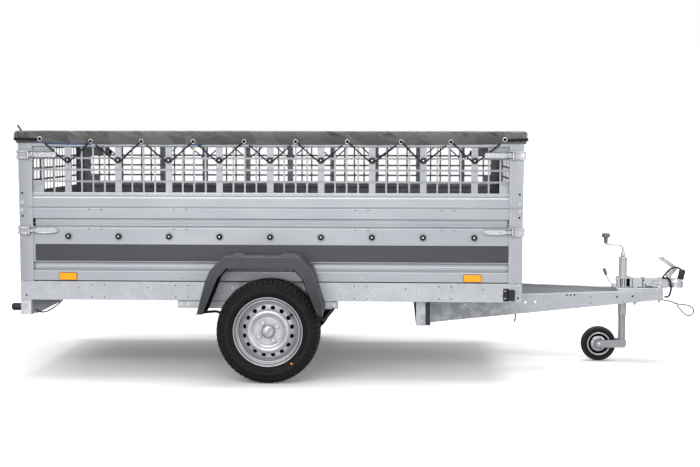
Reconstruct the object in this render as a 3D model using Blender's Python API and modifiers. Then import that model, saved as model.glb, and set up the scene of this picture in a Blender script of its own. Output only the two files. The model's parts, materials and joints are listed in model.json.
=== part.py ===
"""Single-axle box trailer with mesh side extensions, a flat tarpaulin and a V drawbar.

Metres, +Z up, +X forward to the hitch, +Y to the trailer's left, ground at Z = 0.
Dimensions are written relative to the wheel axle (X = 0 there), and an empty then moves the
whole trailer so that X = 0 is the middle of its length.
"""
import math

import bmesh
import bpy
from mathutils import Matrix, Vector

# ---- driving dimensions ----
FRAME_SHIFT = -0.4972      # from the axle to the middle of the overall length
GAP = 0.0003               # clearance between touching pieces
REAR_X = -1.345            # outer face of the tailgate
FRONT_X = 1.336            # outer face of the front board
SIDE_Y = 0.650             # outer face of the side boards and side members
WALL = 0.024               # board thickness
MEMBER_Z = (0.4178, 0.5180)
BOARD_Z = (0.5235, 0.9187)
MESH_Z = (0.9195, 1.3200)
GATE_Z = (0.9245, 1.2445)
FLOOR_TOP = 0.5303
SHEET = 0.003              # pressed channel thickness
MEMBER_LIP = 0.042         # flange width of the side members
CROSS_WIDTH = 0.040        # flange width of the cross members
CROSS_MIDDLE_X = -0.475    # centre of the middle cross member
FLOOR_HALF_Y = 0.6245
GROOVE_DEPTH = 0.013
LOWER_GROOVE_Z = (0.573, 0.580, 0.616, 0.623)   # edge, floor, floor, edge
UPPER_GROOVE_Z = (0.806, 0.813, 0.850, 0.862)
POST_WIDTH = 0.085
POST_SKIN = 0.0025         # the post's plate stands proud of the boards by this
POST_INNER_Y = 0.615       # inner face of a post's end leg
PANEL_HALF_Y = 0.6142      # half width of the end boards and gates
BAY = 0.27                 # pitch of the wide mesh bars
WIDE_BAR = 0.035
MESH_BARS_Z = (1.0530, 1.1150, 1.1766)
MESH_BAR = 0.010
MESH_WINDOW_Z = (0.995, 1.235)
MESH_Y = (0.640, 0.643)    # faces of the side mesh
GATE_RAIL = 0.040          # width of a gate's upright rails
GATE_TOP_RAIL = 0.020
TARP_Z = (1.2500, 1.3255)
TARP_OUT = 0.0053          # the cover stands outside the end faces by this
TARP_HALF_Y = 0.6556
TARP_SKIN = 0.0025

HINGE_OUT = 0.004          # panel hinge axes lie this far outside the end faces
BOARD_HINGE_Z = 0.5205
GATE_HINGE_Z = 0.9217
LATCH_IN = 0.055           # latch pivots lie this far in from the end faces
LATCH_Y = 0.6655
LOWER_LATCH_Z = 0.791
UPPER_LATCH_Z = 1.195

WHEEL_Z = 0.2735           # tyre radius, 155/70 R13
WHEEL_Y = 0.737
ARM_X = 0.160              # swing arm pivot
ARM_Z = 0.348
TURN_STEPS = 24
AXLE_HALF = 0.030          # half the axle tube's square section
AXLE_PLATE_X = (-0.500, 0.360)
RIM_R = 0.1825
FENDER_Y = 0.852
FENDER_SKIN = 0.005

CARRIER_DEPTH = 0.055      # light carrier
CARRIER_LOW = 0.335
CARRIER_HALF_Y = 0.645
LAMP_Y = (0.380, 0.590)
PLATE_HOLDER_HALF_Y = 0.270
BUFFER_Y = 0.617
BUFFER_Z = 0.3755
BUFFER_R = 0.013
BUFFER_REACH = 0.110       # from the carrier's web to the buffer's rear end

BEAM_X = (0.856, 2.202)
BEAM_TIP_Y = 0.070
BEAM_SLOPE = 0.277
BEAM_TOP = 0.4174
BEAM_DEPTH = 0.045
BEAM_BOTTOM = (0.279, 0.365)
CROSS_HEAD_X = 0.777       # rear face of the drawbar's cross member
CROSS_HEAD_LOW = 0.284
HEAD_PLATE_X = (1.935, 2.200)
HEAD_PLATE_TOP = 0.4297
CLAMP_TOP = 0.4900

JOCKEY_X = 1.980
JOCKEY_AXLE_X = 1.845
JOCKEY_R = 0.100
JOCKEY_KNOB_X = 1.880
COUPLING_PIVOT = (2.2447, 0.4952)
BALL_X = 2.287
BALL_SOCKET_R = 0.0256
SLEEVE_X = (2.0335, 2.236)
SLEEVE_TOP = 0.4830
TUBE_R = 0.0240            # jockey outer tube
TUBE_Z = (0.265, 0.605)
CLAMP_AXIS_Z = 0.448

# name: (colour, roughness, metallic)
FINISHES = {
    "zinc": ((0.55, 0.57, 0.60), 0.42, 0.8),
    "bright_zinc": ((0.66, 0.67, 0.69), 0.30, 0.9),
    "rim_silver": ((0.56, 0.57, 0.59), 0.32, 0.7),
    "tyre_rubber": ((0.03, 0.03, 0.035), 0.85, 0.0),
    "dark_plastic": ((0.07, 0.07, 0.075), 0.55, 0.0),
    "black_plastic": ((0.02, 0.02, 0.02), 0.50, 0.0),
    "grey_plastic": ((0.18, 0.18, 0.19), 0.60, 0.0),
    "lamp_red": ((0.45, 0.02, 0.02), 0.15, 0.0),
    "plywood": ((0.20, 0.13, 0.08), 0.65, 0.0),
    "tarp": ((0.11, 0.11, 0.115), 0.70, 0.0),
}


# ---- tools ----
def clear_scene():
    for obj in list(bpy.data.objects):
        bpy.data.objects.remove(obj, do_unlink=True)
    for group in list(bpy.data.collections):
        bpy.data.collections.remove(group)


def new_collection(name):
    group = bpy.data.collections.new(name)
    bpy.context.scene.collection.children.link(group)
    return group


def finish(name):
    found = bpy.data.materials.get(name)
    if found:
        return found
    colour, roughness, metallic = FINISHES[name]
    made = bpy.data.materials.new(name)
    made.use_nodes = True
    shader = made.node_tree.nodes["Principled BSDF"]
    shader.inputs["Base Color"].default_value = (*colour, 1)
    shader.inputs["Roughness"].default_value = roughness
    shader.inputs["Metallic"].default_value = metallic
    return made


def own_finish(part_name, name):
    """A finish of its own for each sub-part, so that one can be changed alone."""
    copy = finish(name).copy()
    copy.name = f"{part_name}_{name}"
    return copy


def to_object(name, shape, look, pivot=(0, 0, 0)):
    """Closes a bmesh in trailer coordinates into an object whose origin is the pivot."""
    bmesh.ops.remove_doubles(shape, verts=shape.verts, dist=1e-6)
    bmesh.ops.recalc_face_normals(shape, faces=shape.faces)
    bmesh.ops.translate(shape, verts=shape.verts, vec=-Vector(pivot))
    mesh = bpy.data.meshes.new(name)
    shape.to_mesh(mesh)
    shape.free()
    obj = bpy.data.objects.new(name, mesh)
    obj.location = pivot
    obj.parent = FRAME
    TRAILER.objects.link(obj)
    mesh.materials.append(own_finish(name, look))
    return obj


def block(name, low, high, look, pivot=None):
    low, high = Vector(low), Vector(high)
    centre = (low + high) / 2
    shape = bmesh.new()
    place = Matrix.Translation(centre) @ Matrix.Diagonal((*(high - low), 1))
    bmesh.ops.create_cube(shape, size=1, matrix=place)
    return to_object(name, shape, look, pivot or centre)


def evaluated_shape(obj, turn=None):
    """The object's shape with its modifiers applied, as a bmesh. The object is removed."""
    bpy.context.view_layer.update()
    graph = bpy.context.evaluated_depsgraph_get()
    mesh = bpy.data.meshes.new_from_object(obj.evaluated_get(graph), depsgraph=graph)
    shape = bmesh.new()
    shape.from_mesh(mesh)
    bmesh.ops.transform(shape, verts=shape.verts, matrix=turn or obj.matrix_world)
    bpy.data.meshes.remove(mesh)
    bpy.data.objects.remove(obj, do_unlink=True)
    return shape


PLANES = {
    "X": Matrix(((0, 0, 1, 0), (1, 0, 0, 0), (0, 1, 0, 0), (0, 0, 0, 1))),
    "Y": Matrix(((1, 0, 0, 0), (0, 0, -1, 0), (0, 1, 0, 0), (0, 0, 0, 1))),
    "Z": Matrix.Identity(4),
}


def prism_shape(outlines, axis, start, end):
    """Outlines in the plane across an axis, (y, z), (x, z) or (x, y), drawn out along it."""
    curve = bpy.data.curves.new("outline", "CURVE")
    curve.dimensions = "2D"
    curve.fill_mode = "BOTH"
    curve.extrude = abs(end - start) / 2
    for outline in outlines:
        spline = curve.splines.new("POLY")
        spline.points.add(len(outline) - 1)
        for point, (u, v) in zip(spline.points, outline):
            point.co = (u, v, 0, 1)
        spline.use_cyclic_u = True
    guide = bpy.data.objects.new("outline", curve)
    TRAILER.objects.link(guide)
    middle = (start + end) / 2
    along = {"X": (middle, 0, 0), "Y": (0, middle, 0), "Z": (0, 0, middle)}[axis]
    return evaluated_shape(guide, Matrix.Translation(along) @ PLANES[axis])


def prism(name, outlines, axis, start, end, look, pivot=(0, 0, 0)):
    return to_object(name, prism_shape(outlines, axis, start, end), look, pivot)


def rod(name, points, radius, look, pivot=(0, 0, 0), resolution=1):
    curve = bpy.data.curves.new(name, "CURVE")
    curve.dimensions = "3D"
    curve.bevel_depth = radius
    curve.bevel_resolution = resolution
    curve.use_fill_caps = True
    spline = curve.splines.new("POLY")
    spline.points.add(len(points) - 1)
    for point, place in zip(spline.points, points):
        point.co = (*place, 1)
    guide = bpy.data.objects.new("rod_guide", curve)
    TRAILER.objects.link(guide)
    return to_object(name, evaluated_shape(guide, Matrix.Identity(4)), look, pivot)


def turned(name, profile, centre, direction, look, closed=False, pivot=None, steps=TURN_STEPS):
    """A profile of (radius, height), top to bottom down its outer side, turned about an axis."""
    mesh = bpy.data.meshes.new(name)
    count = len(profile)
    edges = [(i, i + 1) for i in range(count - 1)]
    if closed:
        edges.append((count - 1, 0))
    mesh.from_pydata([(r, 0, h) for r, h in profile], edges, [])
    guide = bpy.data.objects.new("profile", mesh)
    TRAILER.objects.link(guide)
    screw = guide.modifiers.new("turn", "SCREW")
    screw.steps = screw.render_steps = steps
    screw.use_merge_vertices = True
    screw.merge_threshold = 0.00001
    aim = Vector((0, 0, 1)).rotation_difference(Vector(direction)).to_matrix().to_4x4()
    shape = evaluated_shape(guide, Matrix.Translation(centre) @ aim)
    bpy.data.meshes.remove(mesh)
    return to_object(name, shape, look, pivot or centre)


def combine(obj, other, operation="UNION"):
    """Joins another solid to an object, or cuts it away, and removes the other solid."""
    bpy.context.view_layer.update()
    CUTTERS.objects.link(other)
    TRAILER.objects.unlink(other)
    other.hide_render = True
    other.display_type = "WIRE"
    cut = obj.modifiers.new("combine", "BOOLEAN")
    cut.operation = operation
    cut.solver = "EXACT"
    cut.object = other
    bpy.context.view_layer.update()
    graph = bpy.context.evaluated_depsgraph_get()
    joined = bpy.data.meshes.new_from_object(obj.evaluated_get(graph), depsgraph=graph)
    obj.modifiers.clear()
    old = obj.data
    look = old.materials[0]
    obj.data = joined
    joined.materials.clear()
    joined.materials.append(look)
    bpy.data.meshes.remove(old)
    bpy.data.objects.remove(other, do_unlink=True)
    return obj


def rectangle(u0, u1, v0, v1):
    return [(u0, v0), (u1, v0), (u1, v1), (u0, v1)]


def arc(centre, radius, start, end, steps):
    """Points on a circle from one angle to another, in degrees."""
    turns = [math.radians(start + (end - start) * i / steps) for i in range(steps + 1)]
    return [(centre[0] + radius * math.cos(t), centre[1] + radius * math.sin(t)) for t in turns]


def inset(points, distance):
    """An open polyline moved to its right-hand side by a distance, with mitred corners."""
    moved = []
    flat = [Vector(p) for p in points]
    for i, here in enumerate(flat):
        ways = []
        if i > 0:
            ways.append((here - flat[i - 1]).normalized())
        if i < len(flat) - 1:
            ways.append((flat[i + 1] - here).normalized())
        sides = [Vector((w.y, -w.x)) for w in ways]
        mean = sum(sides, Vector((0, 0))).normalized()
        reach = distance / mean.dot(sides[0])
        moved.append(tuple(here + mean * reach))
    return moved


def side_name(side):
    return "left" if side > 0 else "right"


def across(side, near, far):
    """A pair of Y values on one side of the trailer, lowest first."""
    return sorted((side * near, side * far))


# ---- chassis ----
def side_member(side):
    """A pressed channel, open to the middle of the trailer."""
    low, high = MEMBER_Z
    web, lip = SIDE_Y - SHEET, SIDE_Y - MEMBER_LIP
    outline = [(SIDE_Y, low), (SIDE_Y, high), (lip, high), (lip, high - SHEET),
               (web, high - SHEET), (web, low + SHEET), (lip, low + SHEET), (lip, low)]
    outline = [(side * y, z) for y, z in outline]
    prism(f"side_member_{side_name(side)}", [outline], "X", REAR_X, FRONT_X, "zinc")


def cross_member(name, x0, x1, low, high, half_y, open_way):
    """A pressed channel across the trailer, open to the front (+1) or to the rear (-1)."""
    back, lip = (x0, x1) if open_way > 0 else (x1, x0)
    web = back + open_way * SHEET
    outline = [(back, low), (back, high), (lip, high), (lip, high - SHEET),
               (web, high - SHEET), (web, low + SHEET), (lip, low + SHEET), (lip, low)]
    prism(name, [outline], "Y", -half_y, half_y, "zinc")


def chassis():
    inner = SIDE_Y - MEMBER_LIP - GAP
    low, high = MEMBER_Z
    for side in (-1, 1):
        side_member(side)
    inset_x = 0.002
    for name, x0, open_way in (("rear", REAR_X + inset_x, 1),
                               ("middle", CROSS_MIDDLE_X - CROSS_WIDTH / 2, 1),
                               ("front", FRONT_X - inset_x - CROSS_WIDTH, -1)):
        cross_member(f"cross_member_{name}", x0, x0 + CROSS_WIDTH, low, high, inner, open_way)
    block("floor_panel", (REAR_X + WALL + inset_x, -FLOOR_HALF_Y, high + GAP),
          (FRONT_X - WALL - inset_x, FLOOR_HALF_Y, FLOOR_TOP), "plywood")


# ---- bed ----
def board_outline(outer, inner):
    """A board's section as (depth, z): two pressed grooves in its outer face."""
    low, high = BOARD_Z
    floor = outer - math.copysign(GROOVE_DEPTH, outer - inner)
    outline = [(outer, low)]
    for groove in (LOWER_GROOVE_Z, UPPER_GROOVE_Z):
        outline += list(zip((outer, floor, floor, outer), groove))
    return outline + [(outer, high), (inner, high), (inner, low)]


def side_board(side):
    outline = board_outline(side * SIDE_Y, side * (SIDE_Y - WALL))
    prism(f"side_board_{side_name(side)}", [outline], "X", REAR_X + WALL + 2 * GAP,
          FRONT_X - WALL - 2 * GAP, "zinc")


def end_board(name, face, inward):
    outline = board_outline(face, face + inward * (WALL - GAP))
    prism(name, [outline], "Y", -PANEL_HALF_Y, PANEL_HALF_Y, "zinc",
          (face - inward * HINGE_OUT, 0, BOARD_HINGE_Z))


def post_outline(side, face, inward, skin_inner):
    """Plan of a corner post: a plate outside the side board and a leg across its end."""
    leg = face + inward * (WALL + GAP / 2)
    plate = face + inward * POST_WIDTH
    outer = SIDE_Y + POST_SKIN + GAP
    points = [(face, POST_INNER_Y), (face, outer), (plate, outer), (plate, skin_inner),
              (leg, skin_inner), (leg, POST_INNER_Y)]
    return [(x, side * y) for x, y in points]


def latch_bracket(side, face, inward, z):
    """The fixed half of a latch: a strap round the corner, and two ears for the lever."""
    pivot = face + inward * LATCH_IN
    tip = face - inward * 0.0055
    outer = SIDE_Y + 0.0055
    plan = [(tip, outer), (pivot + inward * 0.012, outer), (pivot + inward * 0.012, SIDE_Y + 0.0016),
            (face - inward * 0.0002, SIDE_Y + 0.0016), (face - inward * 0.0002, 0.628), (tip, 0.628)]
    plan = [(x, side * y) for x, y in plan]
    strap = prism("strap", [plan], "Z", z - 0.0235, z + 0.0235, "bright_zinc")
    for up in (-1, 1):
        y0, y1 = across(side, outer - 0.0012, LATCH_Y + 0.007)
        z0, z1 = sorted((z + up * 0.0175, z + up * 0.0205))
        x0, x1 = pivot - 0.011, pivot + 0.011
        combine(strap, block("ear", (x0, y0, z0), (x1, y1, z1), "bright_zinc"))
    return strap


def corner_post(side, name, face, inward):
    outline = post_outline(side, face, inward, SIDE_Y + GAP)
    post = prism(f"corner_post_{name}_{side_name(side)}", [outline], "Z",
                 MEMBER_Z[1] + 0.0007, BOARD_Z[1], "zinc")
    combine(post, latch_bracket(side, face, inward, LOWER_LATCH_Z))


def mesh_windows(edges):
    """Openings between wide bars, four rows high, for bay edges along a panel."""
    low, high = MESH_WINDOW_Z
    rows = [low] + [z + s * MESH_BAR / 2 for z in MESH_BARS_Z for s in (-1, 1)] + [high]
    pairs = list(zip(rows[0::2], rows[1::2]))
    return [rectangle(a, b, z0, z1) for a, b in edges for z0, z1 in pairs]


def bay_edges(first, last, count):
    """Openings between the wide bars at whole pitches, the end ones cut at first and last."""
    middles = [BAY * k for k in range(-count, count + 1)]
    starts = [first] + [m + WIDE_BAR / 2 for m in middles]
    ends = [m - WIDE_BAR / 2 for m in middles] + [last]
    return list(zip(starts, ends))


def mesh_side(side):
    """A side extension: rails, a thin mesh, and the two upper corner posts."""
    inner_end, outer_end = REAR_X + WALL + 2 * GAP, FRONT_X - WALL - 2 * GAP
    open_x = (REAR_X + POST_WIDTH, FRONT_X - POST_WIDTH + 0.011)
    outline = rectangle(inner_end, outer_end, *MESH_Z)
    window = rectangle(*open_x, *MESH_WINDOW_Z)
    panel = prism(f"mesh_side_{side_name(side)}", [outline, window], "Y",
                  *across(side, SIDE_Y - WALL, SIDE_Y), "zinc")
    lap = 0.003
    plate = rectangle(open_x[0] - lap, open_x[1] + lap, MESH_WINDOW_Z[0] - lap, MESH_WINDOW_Z[1] + lap)
    windows = mesh_windows(bay_edges(open_x[0] + 0.001, open_x[1] - 0.001, 4))
    grid = prism("grid", [plate] + windows, "Y", *across(side, *MESH_Y), "zinc")
    combine(panel, grid)
    for face, inward in ((REAR_X, 1), (FRONT_X, -1)):
        outline = post_outline(side, face, inward, SIDE_Y - 0.001)
        outline[4] = (face + inward * (WALL + 0.002), side * (SIDE_Y - 0.001))
        post = prism("post", [outline], "Z", MESH_Z[0], MESH_Z[1] - GAP, "zinc")
        combine(post, latch_bracket(side, face, inward, UPPER_LATCH_Z))
        combine(panel, post)


def mesh_gate(name, face, inward):
    """An end gate of the extension: a frame of tube with a thin mesh."""
    low, high = GATE_Z
    y = PANEL_HALF_Y
    depth = (face, face + inward * (WALL - GAP))
    pivot = (face - inward * HINGE_OUT, 0, GATE_HINGE_Z)
    inner_y, inner_top, bottom = y - GATE_RAIL, high - GATE_TOP_RAIL, MESH_WINDOW_Z[0]
    ring = [rectangle(-y, y, low, high), rectangle(-inner_y, inner_y, bottom, inner_top)]
    gate = prism(name, ring, "X", *sorted(depth), "zinc", pivot)
    lap = 0.003
    plate = rectangle(-inner_y - lap, inner_y + lap, bottom - lap, inner_top + lap)
    rows = [(0.996, 1.048), (1.058, 1.110), (1.120, 1.1716), (1.1816, inner_top - 0.001)]
    edges = bay_edges(0.001 - inner_y, inner_y - 0.001, 2)
    windows = [rectangle(a, b, z0, z1) for a, b in edges for z0, z1 in rows]
    web = sorted((face + inward * 0.009, face + inward * 0.012))
    combine(gate, prism("grid", [plate] + windows, "X", *web, "zinc"))


def header_rail(name, face, inward):
    depth = sorted((face, face + inward * (WALL - GAP)))
    block(name, (depth[0], -PANEL_HALF_Y, GATE_Z[1] + 0.006),
          (depth[1], PANEL_HALF_Y, MESH_Z[1] + 0.0015), "zinc")


def latch_lever(name, side, face, inward, z, outline):
    """A flat lever on a round barrel, lying along the side and pointing inwards."""
    pivot = (face + inward * LATCH_IN, side * LATCH_Y, z)
    barrel = [(0, 0.017), (0.006, 0.017), (0.006, -0.017), (0, -0.017)]
    lever = turned(name, barrel, pivot, (0, 0, 1), "bright_zinc", steps=12)
    edge = outline + [(u, -v) for u, v in reversed(outline) if v > 0]
    edge = [(pivot[0] + inward * u, z + v) for u, v in edge]
    blade = prism("blade", [edge], "Y", *across(side, LATCH_Y - 0.0052, LATCH_Y - 0.0004),
                  "bright_zinc")
    combine(lever, blade)


def bed():
    ends = {"rear": (REAR_X, 1), "front": (FRONT_X, -1)}
    spoon = [(0.001, 0.009), (0.030, 0.010), (0.070, 0.0155), (0.110, 0.0145), (0.145, 0.008), (0.152, 0)]
    strap = [(0.001, 0.012), (0.030, 0.0155), (0.155, 0.0155), (0.165, 0.008)]
    for side in (-1, 1):
        side_board(side)
        mesh_side(side)
        for name, (face, inward) in ends.items():
            corner_post(side, name, face, inward)
            which = f"{name}_{side_name(side)}"
            latch_lever(f"latch_lever_lower_{which}", side, face, inward, LOWER_LATCH_Z, spoon)
            latch_lever(f"latch_lever_upper_{which}", side, face, inward, UPPER_LATCH_Z, strap)
    end_board("tailgate", REAR_X, 1)
    end_board("front_board", FRONT_X, -1)
    for name, (face, inward) in ends.items():
        mesh_gate(f"mesh_gate_{name}", face, inward)
        header_rail(f"header_rail_{name}", face, inward)


def tarpaulin():
    """A flat sheet over the rails with a short skirt all round, open underneath."""
    low, high = TARP_Z
    x0, x1 = REAR_X - TARP_OUT, FRONT_X + TARP_OUT
    cover = block("tarpaulin", (x0, -TARP_HALF_Y, low), (x1, TARP_HALF_Y, high), "tarp")
    y = TARP_HALF_Y - TARP_SKIN
    hollow = block("hollow", (x0 + TARP_SKIN, -y, low - 0.01), (x1 - TARP_SKIN, y, high - 0.0033), "tarp")
    combine(cover, hollow, "DIFFERENCE")


# ---- axle and wheels ----
def axle_tube():
    half = AXLE_HALF
    tube = block("axle_tube", (ARM_X - half, -0.600, ARM_Z - half),
                 (ARM_X + half, 0.600, ARM_Z + half), "zinc", (ARM_X, 0, ARM_Z))
    for side in (-1, 1):
        y0, y1 = across(side, 0.575, 0.647)
        combine(tube, block("plate", (AXLE_PLATE_X[0], y0, 0.3762),
                            (AXLE_PLATE_X[1], y1, MEMBER_Z[0] - GAP), "zinc"))


def swing_arm(side):
    """A trailing arm from the torsion axle, with the stub axle that carries the hub."""
    pivot = (ARM_X, side * 0.6145, ARM_Z)
    lean = math.degrees(math.atan2(WHEEL_Z - ARM_Z, -ARM_X))
    outline = arc((ARM_X, ARM_Z), 0.026, lean + 90, lean + 270, 8)
    outline += arc((0, WHEEL_Z), 0.024, lean - 90, lean + 90, 8)
    arm = prism(f"swing_arm_{side_name(side)}", [outline], "Y", *across(side, 0.6005, 0.628),
                "zinc", pivot)
    stub = [(0, 0.735), (0.0165, 0.735), (0.0165, 0.620), (0, 0.620)]
    combine(arm, turned("stub", stub, (0, 0, WHEEL_Z), (0, side, 0), "zinc", steps=16))


def wheel(side):
    centre = (0, side * WHEEL_Y, WHEEL_Z)
    out = (0, side, 0)
    hub = [(0, 0.060), (0.026, 0.060), (0.032, 0.056), (0.0335, 0.0297), (0.070, 0.0297),
           (0.070, 0.020), (0.050, 0.014), (0.050, -0.020), (0.095, -0.026), (0.095, -0.085),
           (0.0175, -0.085), (0.0175, 0.005), (0, 0.005)]
    turned(f"hub_{side_name(side)}", hub, centre, out, "bright_zinc", steps=16)
    rim = [(RIM_R, 0.062), (RIM_R, 0.057), (0.1650, 0.054), (0.1620, 0.025), (0.1480, 0.015),
           (0.1480, -0.020), (0.1650, -0.054), (RIM_R, -0.057), (RIM_R, -0.062),
           (0.1610, -0.058), (0.1440, -0.022), (0.1440, 0.010), (0.105, 0.041), (0.072, 0.030),
           (0.0345, 0.030), (0.0345, 0.034), (0.074, 0.034), (0.105, 0.0455), (0.1440, 0.0165),
           (0.1585, 0.026), (0.1610, 0.054), (0.1790, 0.062)]
    turned(f"rim_{side_name(side)}", rim, centre, out, "rim_silver", closed=True)
    outer = [(0.1668, 0.0535), (0.1835, 0.0562), (0.2250, 0.0775), (0.2620, 0.0670), (WHEEL_Z, 0.0500)]
    inner = [(0.2620, 0.0460), (0.2250, 0.0680), (0.1850, 0.0470), (0.1668, 0.0420)]
    ring = outer + [(r, -h) for r, h in reversed(outer)]
    ring += [(r, -h) for r, h in reversed(inner)] + inner
    turned(f"tyre_{side_name(side)}", ring, centre, out, "tyre_rubber", closed=True)


def fender(side):
    """A faceted arch: a thin sheet over the wheel with a flat flange down its outer edge."""
    outer = [(-0.367, 0.370), (-0.322, 0.537), (-0.298, 0.595), (-0.263, 0.635), (-0.223, 0.672),
             (0.165, 0.672), (0.2305, 0.609), (0.290, 0.420), (0.2911, 0.370)]
    inner = [(0.262, 0.370), (0.1856, 0.558), (0.138, 0.611), (-0.2105, 0.610), (-0.2585, 0.556),
             (-0.334, 0.370)]
    arch = prism(f"fender_{side_name(side)}", [outer + inner], "Y",
                 *across(side, SIDE_Y + GAP, FENDER_Y), "dark_plastic")
    pocket = inset(outer, FENDER_SKIN)
    pocket = [(pocket[0][0] - 0.016, 0.300)] + pocket + [(pocket[-1][0], 0.300)]
    hollow = prism("hollow", [pocket], "Y", *across(side, SIDE_Y - 0.02, FENDER_Y - FENDER_SKIN),
                   "dark_plastic")
    combine(arch, hollow, "DIFFERENCE")


def running_gear():
    axle_tube()
    for side in (-1, 1):
        swing_arm(side)
        wheel(side)
        fender(side)


# ---- rear lamps ----
def rear_lamps():
    x0, x1 = REAR_X, REAR_X + CARRIER_DEPTH
    low, high = CARRIER_LOW, MEMBER_Z[0] - GAP
    web = x1 - SHEET
    outline = [(x0, low), (x1, low), (x1, high), (x0, high), (x0, high - SHEET),
               (web, high - SHEET), (web, low + SHEET), (x0, low + SHEET)]
    carrier = prism("light_carrier", [outline], "Y", -CARRIER_HALF_Y, CARRIER_HALF_Y, "zinc")
    y = PLATE_HOLDER_HALF_Y
    combine(carrier, block("plate_holder", (x0 - 0.002, -y, low + 0.001), (x1, y, high - 0.001), "zinc"))
    for side in (-1, 1):
        y0, y1 = across(side, CARRIER_HALF_Y - SHEET, CARRIER_HALF_Y)
        combine(carrier, block("cheek", (x0, y0, low), (x1, y1, high), "zinc"))
        y0, y1 = across(side, 0.600, 0.603)
        gusset = [(x1 - 0.001, low + 0.004), (x1 + 0.025, low + 0.004), (-1.146, 0.400),
                  (-1.146, high), (x1 - 0.001, high)]
        combine(carrier, prism("gusset", [gusset], "Y", y0, y1, "zinc"))
        buffer = [(0, BUFFER_REACH), (BUFFER_R, BUFFER_REACH), (BUFFER_R, 0.002), (0, 0.002)]
        place = (x1, side * BUFFER_Y, BUFFER_Z)
        combine(carrier, turned("buffer", buffer, place, (-1, 0, 0), "black_plastic", steps=16))
        y0, y1 = across(side, *LAMP_Y)
        block(f"rear_lamp_{side_name(side)}", (x0 + 0.0005, y0, low + SHEET + GAP),
              (web - GAP, y1, high - SHEET - GAP), "lamp_red")


# ---- drawbar ----
def slant(side):
    """Leans a shape drawn at Y = 0 so that it follows one beam of the V."""
    matrix = Matrix.Identity(4)
    matrix[1][0] = -side * BEAM_SLOPE
    matrix[1][3] = side * (BEAM_TIP_Y + BEAM_SLOPE * BEAM_X[1])
    return matrix


def beam_section(inset_z, x0, x1):
    rear, tip = BEAM_BOTTOM
    rise = (tip - rear) / (BEAM_X[1] - BEAM_X[0])
    bottom = [rear + (x - BEAM_X[0]) * rise + inset_z for x in (x0, x1)]
    return [(x0, bottom[0]), (x1, bottom[1]), (x1, BEAM_TOP - inset_z), (x0, BEAM_TOP - inset_z)]


def drawbar_beam(side):
    """A tapering channel with its web outside, open to the middle."""
    x0, x1 = BEAM_X
    body = prism_shape([beam_section(0, x0, x1)], "Y", *across(side, -BEAM_DEPTH, 0))
    bmesh.ops.transform(body, verts=body.verts, matrix=slant(side))
    beam = to_object(f"drawbar_beam_{side_name(side)}", body, "zinc")
    pocket = prism_shape([beam_section(SHEET, x0 - 0.01, x1 + 0.01)], "Y",
                         *across(side, -BEAM_DEPTH - 0.01, -SHEET))
    bmesh.ops.transform(pocket, verts=pocket.verts, matrix=slant(side))
    combine(beam, to_object("pocket", pocket, "zinc"), "DIFFERENCE")


def drawbar():
    for side in (-1, 1):
        drawbar_beam(side)
    cross_member("drawbar_cross_member", CROSS_HEAD_X, BEAM_X[0] - GAP, CROSS_HEAD_LOW,
                 BEAM_TOP - GAP, 0.600, -1)
    low, high = BEAM_TOP + GAP, HEAD_PLATE_TOP
    rear, front = HEAD_PLATE_X
    plan = [(rear, -0.130), (front, -0.064), (front, 0.064), (rear, 0.130)]
    hole = arc((JOCKEY_X, 0), 0.0262, 0, 345, 23)
    prism("drawbar_head_plate", [plan, hole], "Z", low, high, "zinc")
    outline = rectangle(1.948, 2.030, -0.034, 0.034)
    hole = arc((JOCKEY_X, 0), 0.0246, 0, 345, 23)
    prism("jockey_clamp", [outline, hole], "Z", HEAD_PLATE_TOP + GAP, CLAMP_TOP, "bright_zinc")


def coupling():
    """A sleeve on the head plate and a ball head, hollow underneath for a 50 mm ball."""
    low = HEAD_PLATE_TOP + GAP
    body = block("coupling_body", (SLEEVE_X[0], -0.030, low), (SLEEVE_X[1], 0.030, SLEEVE_TOP),
                 "bright_zinc")
    combine(body, block("neck", (2.230, -0.027, 0.4360), (2.285, 0.027, 0.4790), "bright_zinc"))
    head = [(0, 0.474), (0.030, 0.474), (0.040, 0.464), (0.040, low), (0, low)]
    combine(body, turned("head", head, (BALL_X, 0, 0), (0, 0, 1), "bright_zinc", steps=20))
    for side in (-1, 1):
        y0, y1 = across(side, 0.0125, 0.0165)
        combine(body, block("lug", (2.232, y0, 0.477), (2.258, y1, 0.504), "bright_zinc"))
    reach = BALL_SOCKET_R
    quarter = [(reach * math.sin(math.radians(a)), reach * math.cos(math.radians(a)))
               for a in range(0, 91, 30)]
    socket = quarter + [(reach, -0.030), (0, -0.030)]
    cup = turned("cup", socket, (BALL_X, 0, 0.441), (0, 0, 1), "bright_zinc", steps=20)
    combine(body, cup, "DIFFERENCE")


def coupling_handle():
    x, z = COUPLING_PIVOT
    outline = [(2.2360, 0.4900), (2.2500, 0.4870), (2.2925, 0.5335), (2.2800, 0.5560),
               (2.2120, 0.6060), (2.1900, 0.6050), (2.1850, 0.5930), (2.2620, 0.5400),
               (2.2330, 0.5000)]
    prism("coupling_handle", [outline], "Y", -0.011, 0.011, "bright_zinc", (x, 0, z))


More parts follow.
